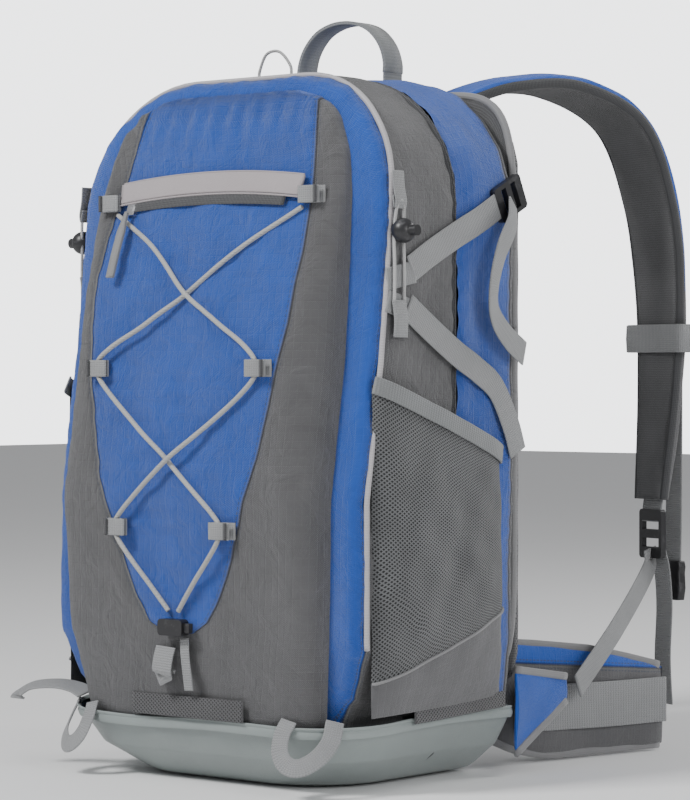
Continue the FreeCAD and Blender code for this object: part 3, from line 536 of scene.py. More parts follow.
def plain(name, color, rough, metal=0.0, grain=0.15):
    # moulded plastic or metal with a fine grain and scuffed patches
    material, n, shader, place = startMaterial(name)[:4]
    speck = n.noise(place, 900, 2, 0.5)
    scuff = n.ramp(n.noise(place, 90, 5, 0.7), 0.55, 0.75)
    tone = n.times(n.less(n.noise(place, 45, 3), 0.5), 0.35)
    worn = n.mix(n.times(scuff, 0.18), shade(n, rgba(color), tone), (0.4, 0.4, 0.42, 1))
    n.link(worn, shader.inputs["Base Color"])
    n.link(n.ramp(scuff, 0, 1, rough, rough + 0.2), shader.inputs["Roughness"])
    shader.inputs["Metallic"].default_value = metal
    bumpTo(n, shader, speck, grain, 0.0003)
    return material


def braid(name, color, pitch=0.0036, fleck=(0.25, 0.25, 0.26)):
    # plaited cord: two crossed spirals of strands, with a darker tracer
    material, n, shader, place = startMaterial(name)[:4]
    a = n.add("SeparateXYZ", None, i0=place).outputs
    aslant = n.times(a[0], 0.8)
    spiral = n.times(n.plus(a[2], aslant), 2 * math.pi / pitch)
    counter = n.times(n.less(a[2], aslant), 2 * math.pi / pitch)
    strands = n.times(n.math("SINE", spiral), n.math("SINE", counter))
    tracer = n.ramp(strands, 0.5, 0.8)
    color = n.mix(n.times(tracer, 0.35), rgba(color), rgba(fleck))
    n.link(shade(n, color, n.times(strands, 0.08)), shader.inputs["Base Color"])
    shader.inputs["Roughness"].default_value = 0.6
    shader.inputs["Sheen Weight"].default_value = 0.3
    bumpTo(n, shader, strands, 0.5, 0.0005)
    return material


blue = (0.001, 0.082, 0.47)
grey = (0.105, 0.105, 0.110)
paleWeb = (0.235, 0.24, 0.245)
frontCloth = cloth("blue front with grey sides", blue, grey, "seam", crinkle=1.45, bump=1.0)
lidCloth = cloth("blue gusset with grey strip", blue, grey, "seam", crinkle=1.3, bump=0.9)
rearCloth = cloth("blue side with grey edge", blue, (0.16, 0.16, 0.165), "seam", crinkle=1.3, bump=0.9)
blueCloth = cloth("blue ripstop", blue, crinkle=1.0)
greyCloth = cloth("grey nylon", grey, crinkle=0.8, rough=0.5)
bootCloth = cloth("coated base fabric", (0.25, 0.285, 0.28), thread=0.001, grid=0.5, crinkle=0.45,
                  rough=0.45, sheen=0.1, bump=0.35, coat=0.15)
flapCloth = cloth("zip flap fabric", (0.36, 0.325, 0.335), grid=0.5, crinkle=0.4, rough=0.5)
# each net's second colour is painted shade in its holes
sideNet = net("side pocket mesh", (0.135, 0.14, 0.145), (0.004, 0.004, 0.005), 0.0040, 0.60, 0.005)
padNet = net("spacer mesh", (0.15, 0.152, 0.158), (0.03, 0.03, 0.033), 0.0038, 0.9, 0.001)
darkNet = net("drainage mesh", (0.085, 0.085, 0.09), (0.008, 0.008, 0.009), 0.0036, 0.8, 0.001)
webCloth = strapCloth("pale grey webbing", paleWeb)
tapeCloth = strapCloth("grey edge tape", (0.20, 0.20, 0.205), rib=0.0012, bump=0.35)
bindCloth = strapCloth("pocket binding", (0.17, 0.178, 0.182), rib=0.0026, bump=0.4)
pipeCloth = strapCloth("piping tape", (0.40, 0.385, 0.40), rib=0.002, bump=0.3)
zipTape = strapCloth("dark zip tape", (0.035, 0.036, 0.04), rib=0.0014)
laceBraid = braid("pale shock cord", (0.36, 0.36, 0.345))
thinBraid = braid("thin cord", (0.40, 0.40, 0.40), 0.0026)
plastic = plain("black plastic", (0.018, 0.018, 0.020), 0.38)
metal = plain("slider metal", (0.55, 0.55, 0.57), 0.25, 1.0, 0.08)
sheetPlastic = plain("stiffener", (0.05, 0.05, 0.055), 0.5)
floorMaterial, floorNodes, floorShader, floorPlace = startMaterial("floor")[:4]
floorTone = floorNodes.math("MULTIPLY", floorNodes.noise(floorPlace, 3, 3), 0.02)
floorNodes.tree.links.new(shade(floorNodes, (0.86, 0.86, 0.86, 1), floorTone),
                          floorShader.inputs["Base Color"])
floorShader.inputs["Roughness"].default_value = 0.8
floor.data.materials.append(floorMaterial)
print("materials made")

levels = np.array([4, 22, 52, 110, 210, 310, 365, 430, 485, 520]) * mm
lidFronts = np.array([-50, -66, -76, -84, -84, -68, -62, -56, -47, -38]) * mm
pocketFronts = np.array([-64, -84, -97, -106, -115, -104, -92, -70, -54, -44]) * mm
seam = 28 * mm
rearWall = 102 * mm
bagCentre = np.array([0, 0.262])
webWide, webThick = 0.020, 0.0016


def lidAt(z):
    # front edge of the bag's front half at a level
    return np.interp(z, levels, lidFronts)


def frontAt(z):
    # front of the pocket at a level
    return np.interp(z, levels, pocketFronts)


def bagOutline(count):
    # the bag seen from the front, from lower right over the top to lower left
    side = np.array([[106, 4], [130, 22], [146.5, 52], [150, 110], [150, 425]]) * mm
    turn = np.linspace(0, math.pi / 2, 14)[1:]
    corner = np.stack([55 + 95 * np.cos(turn), 425 + 95 * np.sin(turn)], 1) * mm
    half = np.vstack([side, corner])
    return resample(np.vstack([half, (half * [-1, 1])[::-1]]), count)


panelFolds = {"wide": 0.0026, "step": 0.060, "pucker": 0.0012, "puckerStep": 0.021, "share": 0.7}


def bagPanel(name, steps, depths, outward, seed, zoneOf, puckerAt):
    # the outline carried through the depth; steps scale it towards its middle
    line = bagOutline(300)
    along = lengths(line)
    rows = []
    for k, t in zip(steps, depths):
        flat = bagCentre + (line - bagCentre) * k
        rows.append(np.stack([flat[:, 0], outward(flat[:, 1], t), flat[:, 1]], 1))
    grid = np.stack(rows, 1)
    radial = unit(np.stack([grid[..., 0], 0 * grid[..., 0], grid[..., 2] - bagCentre[1]], -1))
    wide = folds(grid.reshape(-1, 3) * [1, 1.4, 0.8], panelFolds["wide"], panelFolds["step"], seed)
    wide = wide.reshape(grid.shape[:2])
    wave = np.sin(along * 2 * math.pi / panelFolds["puckerStep"] + 3 * np.sin(along * 31))
    pucker = panelFolds["pucker"] * wave[:, None]
    lift = (wide + pucker * puckerAt(np.asarray(depths))[None, :]) * panelFolds["share"]
    low = np.clip((grid[..., 2] - 0.045) / 0.06, 0, 1)
    ahead = np.clip((0.03 - grid[..., 1]) / 0.08, 0, 1)
    shrink = (0.005 + 0.017 * ahead) * (1 - low)
    grid = grid + radial * (lift * low - shrink)[..., None]
    uv = uvGrid(along, lengths(grid[60]))
    return gridMesh(name, grid, uv, attributes={"seam": zoneOf(grid)})


def makeRearShell():
    # rear half: blue sides, a grey edge tape at the back, bulged between its seams
    t = np.concatenate([np.linspace(0, 0.88, 20), [0.93, 0.97, 0.992, 1, 1, 1, 1]])
    k = 1 + 0.016 * np.sin(np.clip(t, 0, 0.97) / 0.97 * math.pi) ** 0.7
    k[-6:] = [0.992, 0.98, 0.96, 0.90, 0.5, 0.0]
    piece = bagPanel("rear_shell", k, t, lambda z, s: seam + 0.003 + s * (rearWall - seam - 0.003) + 0 * z, 3,
                     lambda g: g[..., 1] - (rearWall - 0.0085),
                     lambda t: np.exp(-((t - 0.0) / 0.12) ** 2) + 0.6 * np.exp(-((t - 0.9) / 0.1) ** 2))
    dress(piece, rearCloth, "pack", ["main_shell"])


def makeLid():
    # front half: grey strip from the zip to the piping, blue gusset in front of it
    t = np.concatenate([np.linspace(0, 0.82, 16), [0.88, 0.92, 0.955, 0.98, 0.995, 1, 1, 1, 1, 1]])
    k = 1 + 0.014 * np.sin(np.clip(t, 0, 0.9) / 0.9 * math.pi) ** 0.7
    k[-10:] = [1.0, 0.996, 0.988, 0.975, 0.955, 0.93, 0.9, 0.85, 0.6, 0.0]
    piece = bagPanel("front_lid_cloth", k, t, lambda z, s: seam - 0.003 + s * (lidAt(z) - seam + 0.003), 7,
                     lambda g: g[..., 1] - lidAt(g[..., 2]) - 0.0105,
                     lambda t: np.exp(-((t - 0.0) / 0.12) ** 2) + 0.8 * np.exp(-((t - 0.9) / 0.1) ** 2))
    dress(piece, lidCloth, "pack", ["front_lid"])


# height and half width of the blue panel in the front pocket
vase = np.array([(100, -20), (109, 0), (112, 15), (120, 28), (138, 41), (163, 54), (191, 64), (220, 73),
                 (241, 80), (280, 88.5), (312, 94), (338, 98), (389, 100.5), (421, 98), (441, 96),
                 (499, 86), (520, 80)]) * mm


pocketLook = {"crease": (0.0026, 0.055), "small": (0.0011, 0.022), "groove": 0.0012, "swell": 0.0014,
              "pucker": 0.0016, "puckerStep": 0.019}


def makeFrontPocket():
    # bulged pocket: a blue panel shaped like a vase between two grey ones
    z = np.concatenate([np.linspace(0.004, 0.44, 110), np.linspace(0.443, 0.509, 26)])
    edgeAt = np.array([(4, 80), (22, 100), (52, 116), (110, 125), (210, 127), (310, 126), (365, 125),
                       (430, 123), (460, 117), (485, 107), (499, 92), (505, 78), (509, 60)]) * mm
    edge = np.interp(z, edgeAt[:, 0], edgeAt[:, 1])
    rear = lidAt(z) - 0.0004
    front = frontAt(z)
    depth = np.maximum(rear - front - 0.001, 0.003)
    cols = 161
    rows = []
    for e, r, f, d, bendMore in zip(edge, rear, front, depth, np.clip((0.12 - z) / 0.07, 0, 1)):
        turn = np.linspace(0, math.pi / 2, 16)
        wide = d + 0.030 * bendMore
        bend = np.stack([e - wide + wide * np.cos(turn), f + d - d * np.sin(turn)], 1)
        half = np.vstack([[[e, r + 0.0005]], bend, [[0.0, f]]])
        ring = np.vstack([half, (half * [-1, 1])[:-1][::-1]])
        rows.append(resample(ring, cols))
    flat = np.stack(rows)
    grid = np.stack([flat[..., 0], flat[..., 1], np.broadcast_to(z[:, None], flat.shape[:2])], -1)
    across = np.abs(flat[..., 0]) / edge[:, None]
    quiet = np.clip(1.25 - across, 0.15, 1)
    crease = folds(grid.reshape(-1, 3) * [1, 1, 0.6], *pocketLook["crease"], 11).reshape(flat.shape[:2])
    small = folds(grid.reshape(-1, 3) * [0.6, 1, 1.5], *pocketLook["small"], 12).reshape(flat.shape[:2])
    limit = np.interp(grid[..., 2], vase[:, 0], vase[:, 1])
    zone = np.abs(grid[..., 0]) - limit
    low = 0.109 - grid[..., 2]
    zone = np.where(grid[..., 2] < 0.118, np.maximum(zone, low), zone)
    groove = np.exp(-(zone / 0.0035) ** 2) * pocketLook["groove"]
    swell = pocketLook["swell"] * np.clip(-zone / 0.03, 0, 1)
    top = np.clip((grid[..., 2] - 0.445) / 0.05, 0, 1)
    wave = np.sin(grid[..., 0] * 2 * math.pi / pocketLook["puckerStep"])
    pucker = pocketLook["pucker"] * wave * top ** 2
    side = unit(grid - np.stack([0 * flat[..., 0], 0 * flat[..., 0] + 0.02, grid[..., 2]], -1))
    lift = (crease + small) * quiet * (1 - 0.6 * top) - groove + swell * (1 - top) + pucker
    grid = grid + side * lift[..., None]
    uv = np.stack([np.broadcast_to(lengths(grid[:, 80])[:, None], flat.shape[:2]),
                   np.stack([lengths(r) for r in grid])], -1)
    piece = gridMesh("front_pocket_cloth", grid, uv, attributes={"seam": zone})
    dress(piece, frontCloth, "pack", ["front_pocket"])


def plan(z, grow, count=220):
    # the bag's plan at a low level: rounded front corners, squarer rear ones
    half = np.interp(z, [0, 0.022, 0.052], [0.104, 0.1305, 0.1475]) + grow
    front = np.interp(z, [0, 0.004, 0.022, 0.052], [-0.062, -0.064, -0.0845, -0.0975]) - grow
    rear = rearWall + 0.001 + grow
    r = 0.060 + grow
    turn = np.linspace(0, math.pi / 2, 20)
    bend = np.stack([half - r + r * np.cos(turn), front + r - r * np.sin(turn)], 1)
    s = 0.006
    low = np.stack([half - s + s * np.sin(turn), rear - s + s * np.cos(turn)], 1)
    side = np.vstack([[[0, rear]], low, bend, [[0, front]]])
    ring = np.vstack([side, (side * [-1, 1])[::-1][1:]])
    return resample(ring, count)


bootShape = {"dip": 0.0045, "sway": 0.002, "wave": 0.0016, "hemHalf": 0.0035, "hemOff": 0.0012}


def makeBoot():
    # coated cup with a turned hem: its top edge dips at the front and rises at the sides
    z = np.concatenate([[0.0, 0.0, 0.0008, 0.003], np.linspace(0.006, 0.051, 30), [0.0518, 0.0515, 0.050]])
    grow = np.concatenate([[-0.07, -0.008, -0.0025, 0.0008], np.linspace(0.0016, 0.0024, 30),
                           [0.0016, 0.0006, -0.0004]])
    rows = []
    for level, g in zip(z, grow):
        p = plan(level, g) if g > -0.05 else plan(level, 0) * 0.05
        rows.append(np.stack([p[:, 0], p[:, 1], np.full(len(p), level)], 1))
    grid = np.stack(rows)
    share = np.clip(grid[..., 2] / 0.05, 0, 1)
    around = np.arctan2(grid[..., 1] - 0.01, grid[..., 0])
    sway = bootShape["sway"] * np.sin(around * 4 + 1)
    dip = -bootShape["dip"] * np.exp(-((around + math.pi / 2) / 0.7) ** 2) + sway
    grid[..., 2] += dip * share ** 2
    wave = folds(grid.reshape(-1, 3), bootShape["wave"], 0.05, 21).reshape(share.shape)
    outward = unit(np.stack([grid[..., 0], grid[..., 1], 0 * share], -1))
    grid = grid + outward * (wave * share)[..., None]
    piece = gridMesh("boot_cloth", grid, uvGrid(lengths(grid[:, 30]), lengths(grid[20])))
    dress(piece, bootCloth, "pack", ["base_boot"])
    hem = grid[30] + outward[30] * bootShape["hemOff"]
    low, high = hem.copy(), hem.copy()
    high[:, 2] += bootShape["hemHalf"]
    low[:, 2] -= bootShape["hemHalf"]
    strip = np.stack([low, (low + high) / 2 + outward[30] * bootShape["hemOff"], high], 1)
    piece = gridMesh("boot_hem", strip, surfaceUv(strip))
    dress(piece, bootCloth)


def makePiping():
    # corded edge on a flat tape, along the front edge of the bag
    line = bagOutline(240)
    line = line[line[:, 1] > 0.105]
    y = lidAt(line[:, 1]) + 0.0105
    out = bagCentre + (line - bagCentre) * 1.006
    path = np.stack([out[:, 0], y, out[:, 1]], 1)
    piece = tube("piping_cord", path, 0.0021, 260, 10)
    dress(piece, pipeCloth, "pack", ["piping"])


coil = {"pitch": 0.0042, "radius": 0.0008}


def makeMainZip():
    # the zip's tape, two storm folds and the coil between them
    line = bagOutline(520)
    steps = ((0.995, 0.0245), (1.004, 0.0262), (1.003, 0.0272), (1.0005, 0.0278),
             (1.0005, 0.0282), (1.003, 0.0288), (1.004, 0.0298), (0.995, 0.0315))
    grid = np.stack(scaledRings(line, bagCentre, steps), 1)
    piece = gridMesh("main_zip_tape", grid, uvGrid(lengths(line), lengths(grid[60])))
    dress(piece, zipTape, "pack", ["main_zip"])
    along = lengths(line)
    wave = np.sin(along * 2 * math.pi / coil["pitch"])
    flat = bagCentre + (line - bagCentre) * 1.0035
    path = np.stack([flat[:, 0], seam + coil["radius"] * wave, flat[:, 1]], 1)
    piece = tube("main_zip_coil", path, coil["radius"], 1500, 6, False)
    dress(piece, zipTape)


makeRearShell()
makeLid()
makeFrontPocket()
makeBoot()
makePiping()
makeMainZip()
print("bag made")

pocketLevels = np.array([4, 22, 52, 110, 210, 310, 365, 430, 460, 485, 499, 509]) * mm
pocketEdges = np.array([82, 103, 120, 126, 127, 126, 125, 123, 117, 107, 92, 60]) * mm
sides = ((1, "right"), (-1, "left"))


def onPocket(x, z, lift):
    # a point on the front pocket's surface, raised off it
    edge = np.interp(z, pocketLevels, pocketEdges)
    front = frontAt(z)
    depth = np.maximum(lidAt(z) - front - 0.001, 0.003)
    over = np.clip(np.abs(x) - (edge - depth), 0, depth)
    y = front + depth - np.sqrt(depth ** 2 - over ** 2)
    return np.stack([x, y - lift, z], -1)


frontFacing = np.array([0, -0.97, 0.25])


def makeFrontBand():
    # arched welt over the pocket's zip, with a seam along its top and its bottom, and the zip's tape below it
    x = np.linspace(-0.090, 0.090, 60)
    z = 0.4365 + 0.0055 * (1 - (x / 0.09) ** 2)
    path = onPocket(x, z, 0.0036)
    piece = sweep("zip_flap_cloth", path, frontFacing,
                  flatProfile(0.0155, 0.0022))
    dress(piece, flapCloth, "pack", ["zip_flap"])
    for name, shift in (("flap_seam_top", 0.0082), ("flap_seam_low", -0.0082)):
        line = onPocket(x, z + shift, 0.0044)
        dress(tube(name, line, 0.0008, 80, 6), flapCloth)
    z = 0.4248 + 0.0045 * (1 - (x / 0.09) ** 2)
    path = onPocket(x[5:-5], z[5:-5], 0.0030)
    piece = sweep("front_zip_tape", path, frontFacing,
                  flatProfile(0.0075, 0.0012))
    dress(piece, zipTape, "pack", ["front_zip"])


def makeLoops():
    # folded webbing loops that guide the lace, each with a dark bar tack
    for x, z in ((0.074, 0.305), (0.047, 0.188), (0.095, 0.430)):
        for sign, side in sides:
            base = onPocket(np.array(sign * x), np.array(z), 0)[1] - 0.0014
            path = [[sign * (x + 0.016), base, z], [sign * (x + 0.004), base - 0.0005, z],
                    [sign * (x - 0.003), base - 0.0012, z], [sign * (x - 0.0045), base - 0.0035, z],
                    [sign * (x - 0.003), base - 0.0062, z], [sign * (x + 0.004), base - 0.0066, z],
                    [sign * (x + 0.014), base - 0.0048, z]]
            at = round(z * 1000)
            sewn(f"lace_loop_{at}_{side}", path, (0, -1, 0), 0.0125, 0.0013, 40,
                 "pack", ["bungee_loops"])
            for end, off in (("a", 0.0125), ("b", -0.0042)):
                bar = [[sign * (x + off), base - 0.0058 - (0.0012 if off > 0 else -0.0012), z - 0.0062],
                       [sign * (x + off), base - 0.0058 - (0.0012 if off > 0 else -0.0012), z + 0.0062]]
                sewn(f"lace_tack_{at}_{side}_{end}", bar, (0, -1, 0), 0.0028, 0.0016, 12,
                     material=zipTape)


def cordCurve(name, points, diameter, material):
    # a cord as a NURBS line with a round bevel
    data = bpy.data.curves.new(name, "CURVE")
    data.dimensions = "3D"
    data.bevel_depth = diameter / 2
    data.bevel_resolution = 5
    data.resolution_u = 10
    data.use_fill_caps = True
    line = data.splines.new("NURBS")
    line.points.add(len(points) - 1)
    for point, place in zip(line.points, points):
        point.co = (*place, 1)
    line.order_u = 3
    line.use_endpoint_u = True
    piece = bpy.data.objects.new(name, data)
    bpy.context.collection.objects.link(piece)
    data.materials.append(material)
    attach(piece, "pack")
    return piece


laceRoute = np.array([(-92, -75.1, 421), (-74, -78.5, 411), (-50, -83.6, 398), (-28, -91, 382),
                      (-6, -100.2, 365), (6, -102.2, 356), (24, -103, 345), (42, -104.6, 334),
                      (62, -108, 324), (77.4, -110.9, 313), (80.5, -111, 305), (77.4, -110.9, 297),
                      (62, -112, 283), (42, -114.4, 268), (24, -117.5, 255), (6, -121.7, 242),
                      (-6, -122.8, 232), (-26, -121, 217), (-50.4, -119.8, 196), (-53.5, -120, 188),
                      (-50.4, -119.8, 180), (-36, -118, 163), (-20, -115.5, 146), (-5, -112.4, 128)]) * mm


laceShape = {"diameter": 0.0036, "over": 4.4 * mm}


def makeLaces():
    # both strands cross over in the middle, the right one above the left
    for sign, side in sides:
        route = laceRoute * [sign, 1, 1]
        if sign < 0:
            route[[4, 5, 15, 16], 1] += laceShape["over"]
        name = "front_lace_" + side
        piece = cordCurve(name + "_cord", route, laceShape["diameter"], laceBraid)
        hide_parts(name)


def makeLaceTabs():
    # the folded pull tab below the lock, and a narrow tape beside it
    fold = [[-0.009, -0.110, 0.101], [-0.0095, -0.1125, 0.093], [-0.010, -0.1135, 0.084],
            [-0.0105, -0.1105, 0.081], [-0.0105, -0.1085, 0.084]]
    sewn("lace_tab", fold, (0, -1, 0.1), 0.019, 0.0016, 40, "pack", ["cord_tabs"])
    tape = [[0.008, -0.1085, 0.108], [0.0095, -0.1095, 0.095], [0.0105, -0.1065, 0.070]]
    sewn("lace_tape", tape, (0, -1, 0.1), 0.0085, 0.0012, 30)


def makeIceLoops():
    # flat loops of webbing that stand off the lower front corners
    for sign, side in sides:
        path = np.array([[98, -96, 53], [96.5, -102, 43], [99, -107, 31], [107, -108.5, 23],
                         [117, -105.5, 22], [126, -97, 29], [129, -87, 40], [127, -80, 53]]) * mm
        path = path * [sign, 1, 1]
        facing = np.array([(0.1, -1, 0.1), (0.1, -1, 0), (0.2, -1, 0.1), (0.3, -1, 0.3), (0.4, -1, 0.3),
                           (0.6, -0.9, 0.2), (0.7, -0.8, 0), (0.7, -0.7, 0)]) * [sign, 1, 1]
        sewn("ice_axe_loop_" + side, path, facing, 0.0135, 0.0017, 60, "pack", ["ice_axe_loops"])
    path = np.array([[-118, -84, 57], [-132, -80, 60], [-150, -82, 62], [-170, -88, 60], [-180, -93, 54],
                     [-181, -95, 50]]) * mm
    sewn("lower_tail_end", path, (0, -0.4, 1), 0.015, 0.0017, 60)


def meshStrip(name, points, facing, width, material):
    # drainage mesh let into the cloth just above the base
    piece = webbing(name, points, facing, width, 0.0012, 60)
    dress(piece, material)


def makeDrains():
    # one in the middle of the front, one along each side
    x = np.linspace(-0.052, 0.058, 12)
    path = onPocket(x, 0 * x + 0.057, 0.0030)
    meshStrip("drain_front", path, (0, -1, 0), 0.016, darkNet)
    for sign, side in sides:
        path = np.array([[151.2, -20, 54], [151.6, 10, 55], [151.6, 60, 57], [150.8, 88, 58]]) * mm
        meshStrip("drain_" + side, path * [sign, 1, 1], (sign, 0, 0), 0.012, darkNet)


sidePocket = {"front": -0.068, "long": 0.150, "face": 0.1508, "bulge": 0.0185, "fold": 0.0016}


def sideSurface(u, v, sign, lift=0.0):
    # side pocket: u from front to rear, v from floor to rim; tight at every edge, full below
    y = sidePocket["front"] + sidePocket["long"] * u
    floorLevel = 0.056 + 0.004 * u
    rim = 0.300 - 0.054 * u
    z = floorLevel + (rim - floorLevel) * v
    across = (1 - np.abs(2 * u - 1) ** 3.2) ** 0.62
    rise = np.interp(v, [0, 0.08, 0.25, 0.5, 0.8, 1.0], [0.12, 0.5, 0.9, 1.0, 0.75, 0.45])
    p = np.stack([u, v, 0 * u], -1)
    x = sidePocket["face"] + sidePocket["bulge"] * across * rise + lift
    wave = folds(p.reshape(-1, 3) * [0.15, 0.25, 1], sidePocket["fold"], 0.045, 31).reshape(u.shape)
    x = x + wave * rise
    return np.stack([sign * x, y, z], -1)


def makeSidePocket(sign, side):
    # mesh above a slanted seam, plain nylon below, a wide elastic binding on the rim
    share = np.linspace(0, 1, 60)
    turnedAt = 0.10 + 0.26 * share ** 1.2
    for name, low, high, material, slotName, nodes in (
            ("side_mesh_", turnedAt, 0 * share + 0.97, sideNet, "spacer_mesh", ["side_pocket_" + side]),
            ("side_skirt_", 0 * share, turnedAt, greyCloth, "grey_fabric", [])):
        v = low[:, None] + (high - low)[:, None] * np.linspace(0, 1, 56)[None]
        u = np.broadcast_to(share[:, None], v.shape)
        grid = sideSurface(u, v, sign)
        if sign < 0:
            grid = grid[::-1]
        piece = gridMesh(name + side, grid, surfaceUv(grid))
        dress(piece, material, "pack", nodes)
    rim = sideSurface(share, 0 * share + 0.97, sign, 0.0012)
    sewn("side_binding_" + side, rim, (sign, 0, 0.1), 0.0135, 0.0018, 80,
         "pack", ["pocket_bindings"], material=bindCloth)
    seamLine = sideSurface(share, turnedAt, sign, 0.0008)
    dress(tube("side_seam_" + side, seamLine, 0.0011, 80, 8), tapeCloth)


def makeSideTabs(sign, side):
    # sewn tabs that the straps start from, and the cord's anchor above them
    x = sign * 0.1548
    for name, z, slope in (("upper", 0.3705, 0.45), ("lower", 0.350, -0.55)):
        path = [[sign * 0.1522, -0.053, z - 0.0055 * slope], [sign * 0.1530, -0.038, z + 0.0020 * slope],
                [sign * 0.1554, -0.026, z + 0.0085 * slope]]
        sewn(f"side_tab_{name}_{side}", path, (sign, 0, 0), 0.0165, 0.0016, 16, "pack", ["side_tabs"])
    path = [[x, -0.044, 0.446], [x + sign * 0.001, -0.044, 0.434], [x + sign * 0.003, -0.044, 0.424],
            [x + sign * 0.0015, -0.044, 0.419], [x, -0.044, 0.428]]
    sewn(f"cord_anchor_{side}", path, (sign, 0, 0), 0.0125, 0.0014, 30)
    path = [[sign * 0.1545, -0.0435, 0.353], [sign * 0.1565, -0.0435, 0.340], [sign * 0.1560, -0.0435, 0.327]]
    sewn(f"cord_tab_{side}", path, (sign, 0, 0), 0.0145, 0.0030, 24, "pack", ["cord_tabs"])


def makeCompression(sign, side):
    # two ribbed straps on the side, and the upper one's loose end in a bow
    straps = {"upper": [(-30, 376), (-8, 388), (22, 402), (50, 414), (74, 426)],
              "lower": [(-34, 349), (-8, 333), (22, 316), (48, 304), (71, 290), (88, 264), (99, 242)]}
    for name, line in straps.items():
        path = np.array([(sign * 155.4, y, z) for y, z in line]) * mm
        path[:, 0] += sign * folds(path, 0.0008, 0.08, 5)
        if name == "lower":
            path[-1, 0] = sign * 0.1545
        sewn(f"compression_{name}_{side}", path, (sign, 0, 0), webWide, webThick, 90,
             "pack", ["compression_straps"])
    tail = np.array([(158, 88, 428), (163, 80, 412), (167, 62, 392), (168, 52, 368), (165, 56, 346),
                     (163, 74, 329), (161, 98, 316)]) * mm * [sign, 1, 1]
    sewn(f"compression_tail_{side}", tail, (sign, 0.35, 0), webWide, webThick, 90)


sideCordDiameter = 0.0024


def makeSideCord(sign, side):
    # doubled cord through its anchor, with the ball lock round both legs
    line = [(-49, 352), (-49.3, 376), (-49.5, 398), (-49, 414), (-47.5, 422), (-44, 426), (-40.5, 422),
            (-39, 414), (-38.5, 398), (-38.3, 376), (-38, 352)]
    route = np.array([(sign * 155.9, y, z) for y, z in line]) * mm
    route[:, 0] += sign * np.array([0.2, 1.2, 0, 1.2, 2, 2.2, 2, 1.2, 0, 1.2, 0.2]) * mm
    name = "side_cord_" + side
    piece = cordCurve(name + "_cord", route, sideCordDiameter, thinBraid)
    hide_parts(name)


makeFrontBand()
makeLoops()
makeLaces()
makeLaceTabs()
makeIceLoops()
makeDrains()
for sign, side in sides:
    makeSidePocket(sign, side)
    makeSideTabs(sign, side)
    makeCompression(sign, side)
    makeSideCord(sign, side)
print("fittings made")

backFace = 0.1192
strapLine = np.array([(20, 514), (70, 529), (135, 532), (200, 505), (231, 442), (242, 370), (241, 290),
                      (233, 198)]) * mm


def placed(sign, degrees, start, points):
    # points drawn in the YZ plane, turned out about Z and moved to their root
    p = np.asarray(points, float)
    a = math.radians(-sign * degrees)
    x = p[:, 0] * math.cos(a) - p[:, 1] * math.sin(a) + sign * start[0]
    y = p[:, 0] * math.sin(a) + p[:, 1] * math.cos(a) + start[1]
    return np.stack([x, y, p[:, 2]], 1)


# degrees turned out, and the root, of the shoulder strap's plane and of the wing's
planes = {"strap": (16, (0.048, backFace)), "wing": (12, (0.104, backFace + 0.003))}


def onStrap(sign, points):
    # points of the shoulder strap's plane
    return placed(sign, *planes["strap"], points)


def onWing(sign, points):
    # points of the belt wing's plane
    return placed(sign, *planes["wing"], points)


def direction(place, sign, way):
    # a direction turned with the strap or the wing
    return place(sign, [way])[0] - place(sign, [(0, 0, 0)])[0]


strapCover = cloth("strap cover", blue, grey, "seam", crinkle=0.55)
wingCover = cloth("belt wing cover", grey, blue, "seam", crinkle=0.9)
foamEdge = strapCloth("dark edge binding", (0.030, 0.031, 0.034), rib=0.0014, bump=0.4)


strapShape = {"wide": [56, 61, 62, 58, 46, 34], "thick": [7, 9, 10.5, 10.5, 8, 5], "greyFrom": 0.335,
              "fold": 0.0010, "liningThick": 0.0042, "liningOff": 0.0058, "edge": (0.0042, 0.0085)}


def makeShoulderStrap(sign, side):
    # foam with a blue then grey cover, a mesh lining and a bound edge, narrow at the foot
    flat = smoothLine(strapLine, 130)
    share = np.linspace(0, 1, 130)
    along = lengths(flat)
    step = unit(np.gradient(flat, axis=0))
    outward = np.stack([0 * share, -step[:, 1], step[:, 0]], 1)
    wide = np.interp(share, [0, 0.12, 0.35, 0.6, 0.82, 1], strapShape["wide"]) * mm
    line = np.stack([0 * share, flat[:, 0], flat[:, 1]], 1)
    zero = onStrap(sign, np.zeros((1, 3)))
    facing = onStrap(sign, outward) - zero
    across = onStrap(sign, np.array([[1.0, 0, 0]])) - zero
    profile = padProfile(1, 1, 3.4, 40)
    thick = np.interp(share, [0, 0.03, 0.12, 0.9, 0.97, 1], strapShape["thick"]) * mm
    body = f"strap_{side}"

    def puff(grid):
        wave = folds(grid.reshape(-1, 3), strapShape["fold"], 0.05, 41).reshape(grid.shape[:2])
        return facing[:, None] * wave[..., None]

    zone = np.broadcast_to((along - strapShape["greyFrom"])[:, None], (130, 40))
    middle = onStrap(sign, line) + facing * 0.0004
    piece = sweep("strap_cover_" + side, middle, facing, profile, wide, thick, puff, {"seam": zone})
    dress(piece, strapCover, body, ["shoulder_strap_" + side])
    middle = onStrap(sign, line) - facing * strapShape["liningOff"]
    lining = thick * 0 + strapShape["liningThick"]
    piece = sweep("strap_mesh_" + side, middle, facing, profile, wide * 0.93, lining, puff)
    dress(piece, padNet, body, ["strap_lining_" + side])
    for k, edge in ((1, "outer"), (-1, "inner")):
        path = onStrap(sign, line) + across * (k * (wide / 2 - 0.0012))[:, None] - facing * 0.0030
        piece = sweep(f"strap_edge_{edge}_{side}", path, facing, padProfile(*strapShape["edge"], 2.4, 14))
        dress(piece, foamEdge, body)


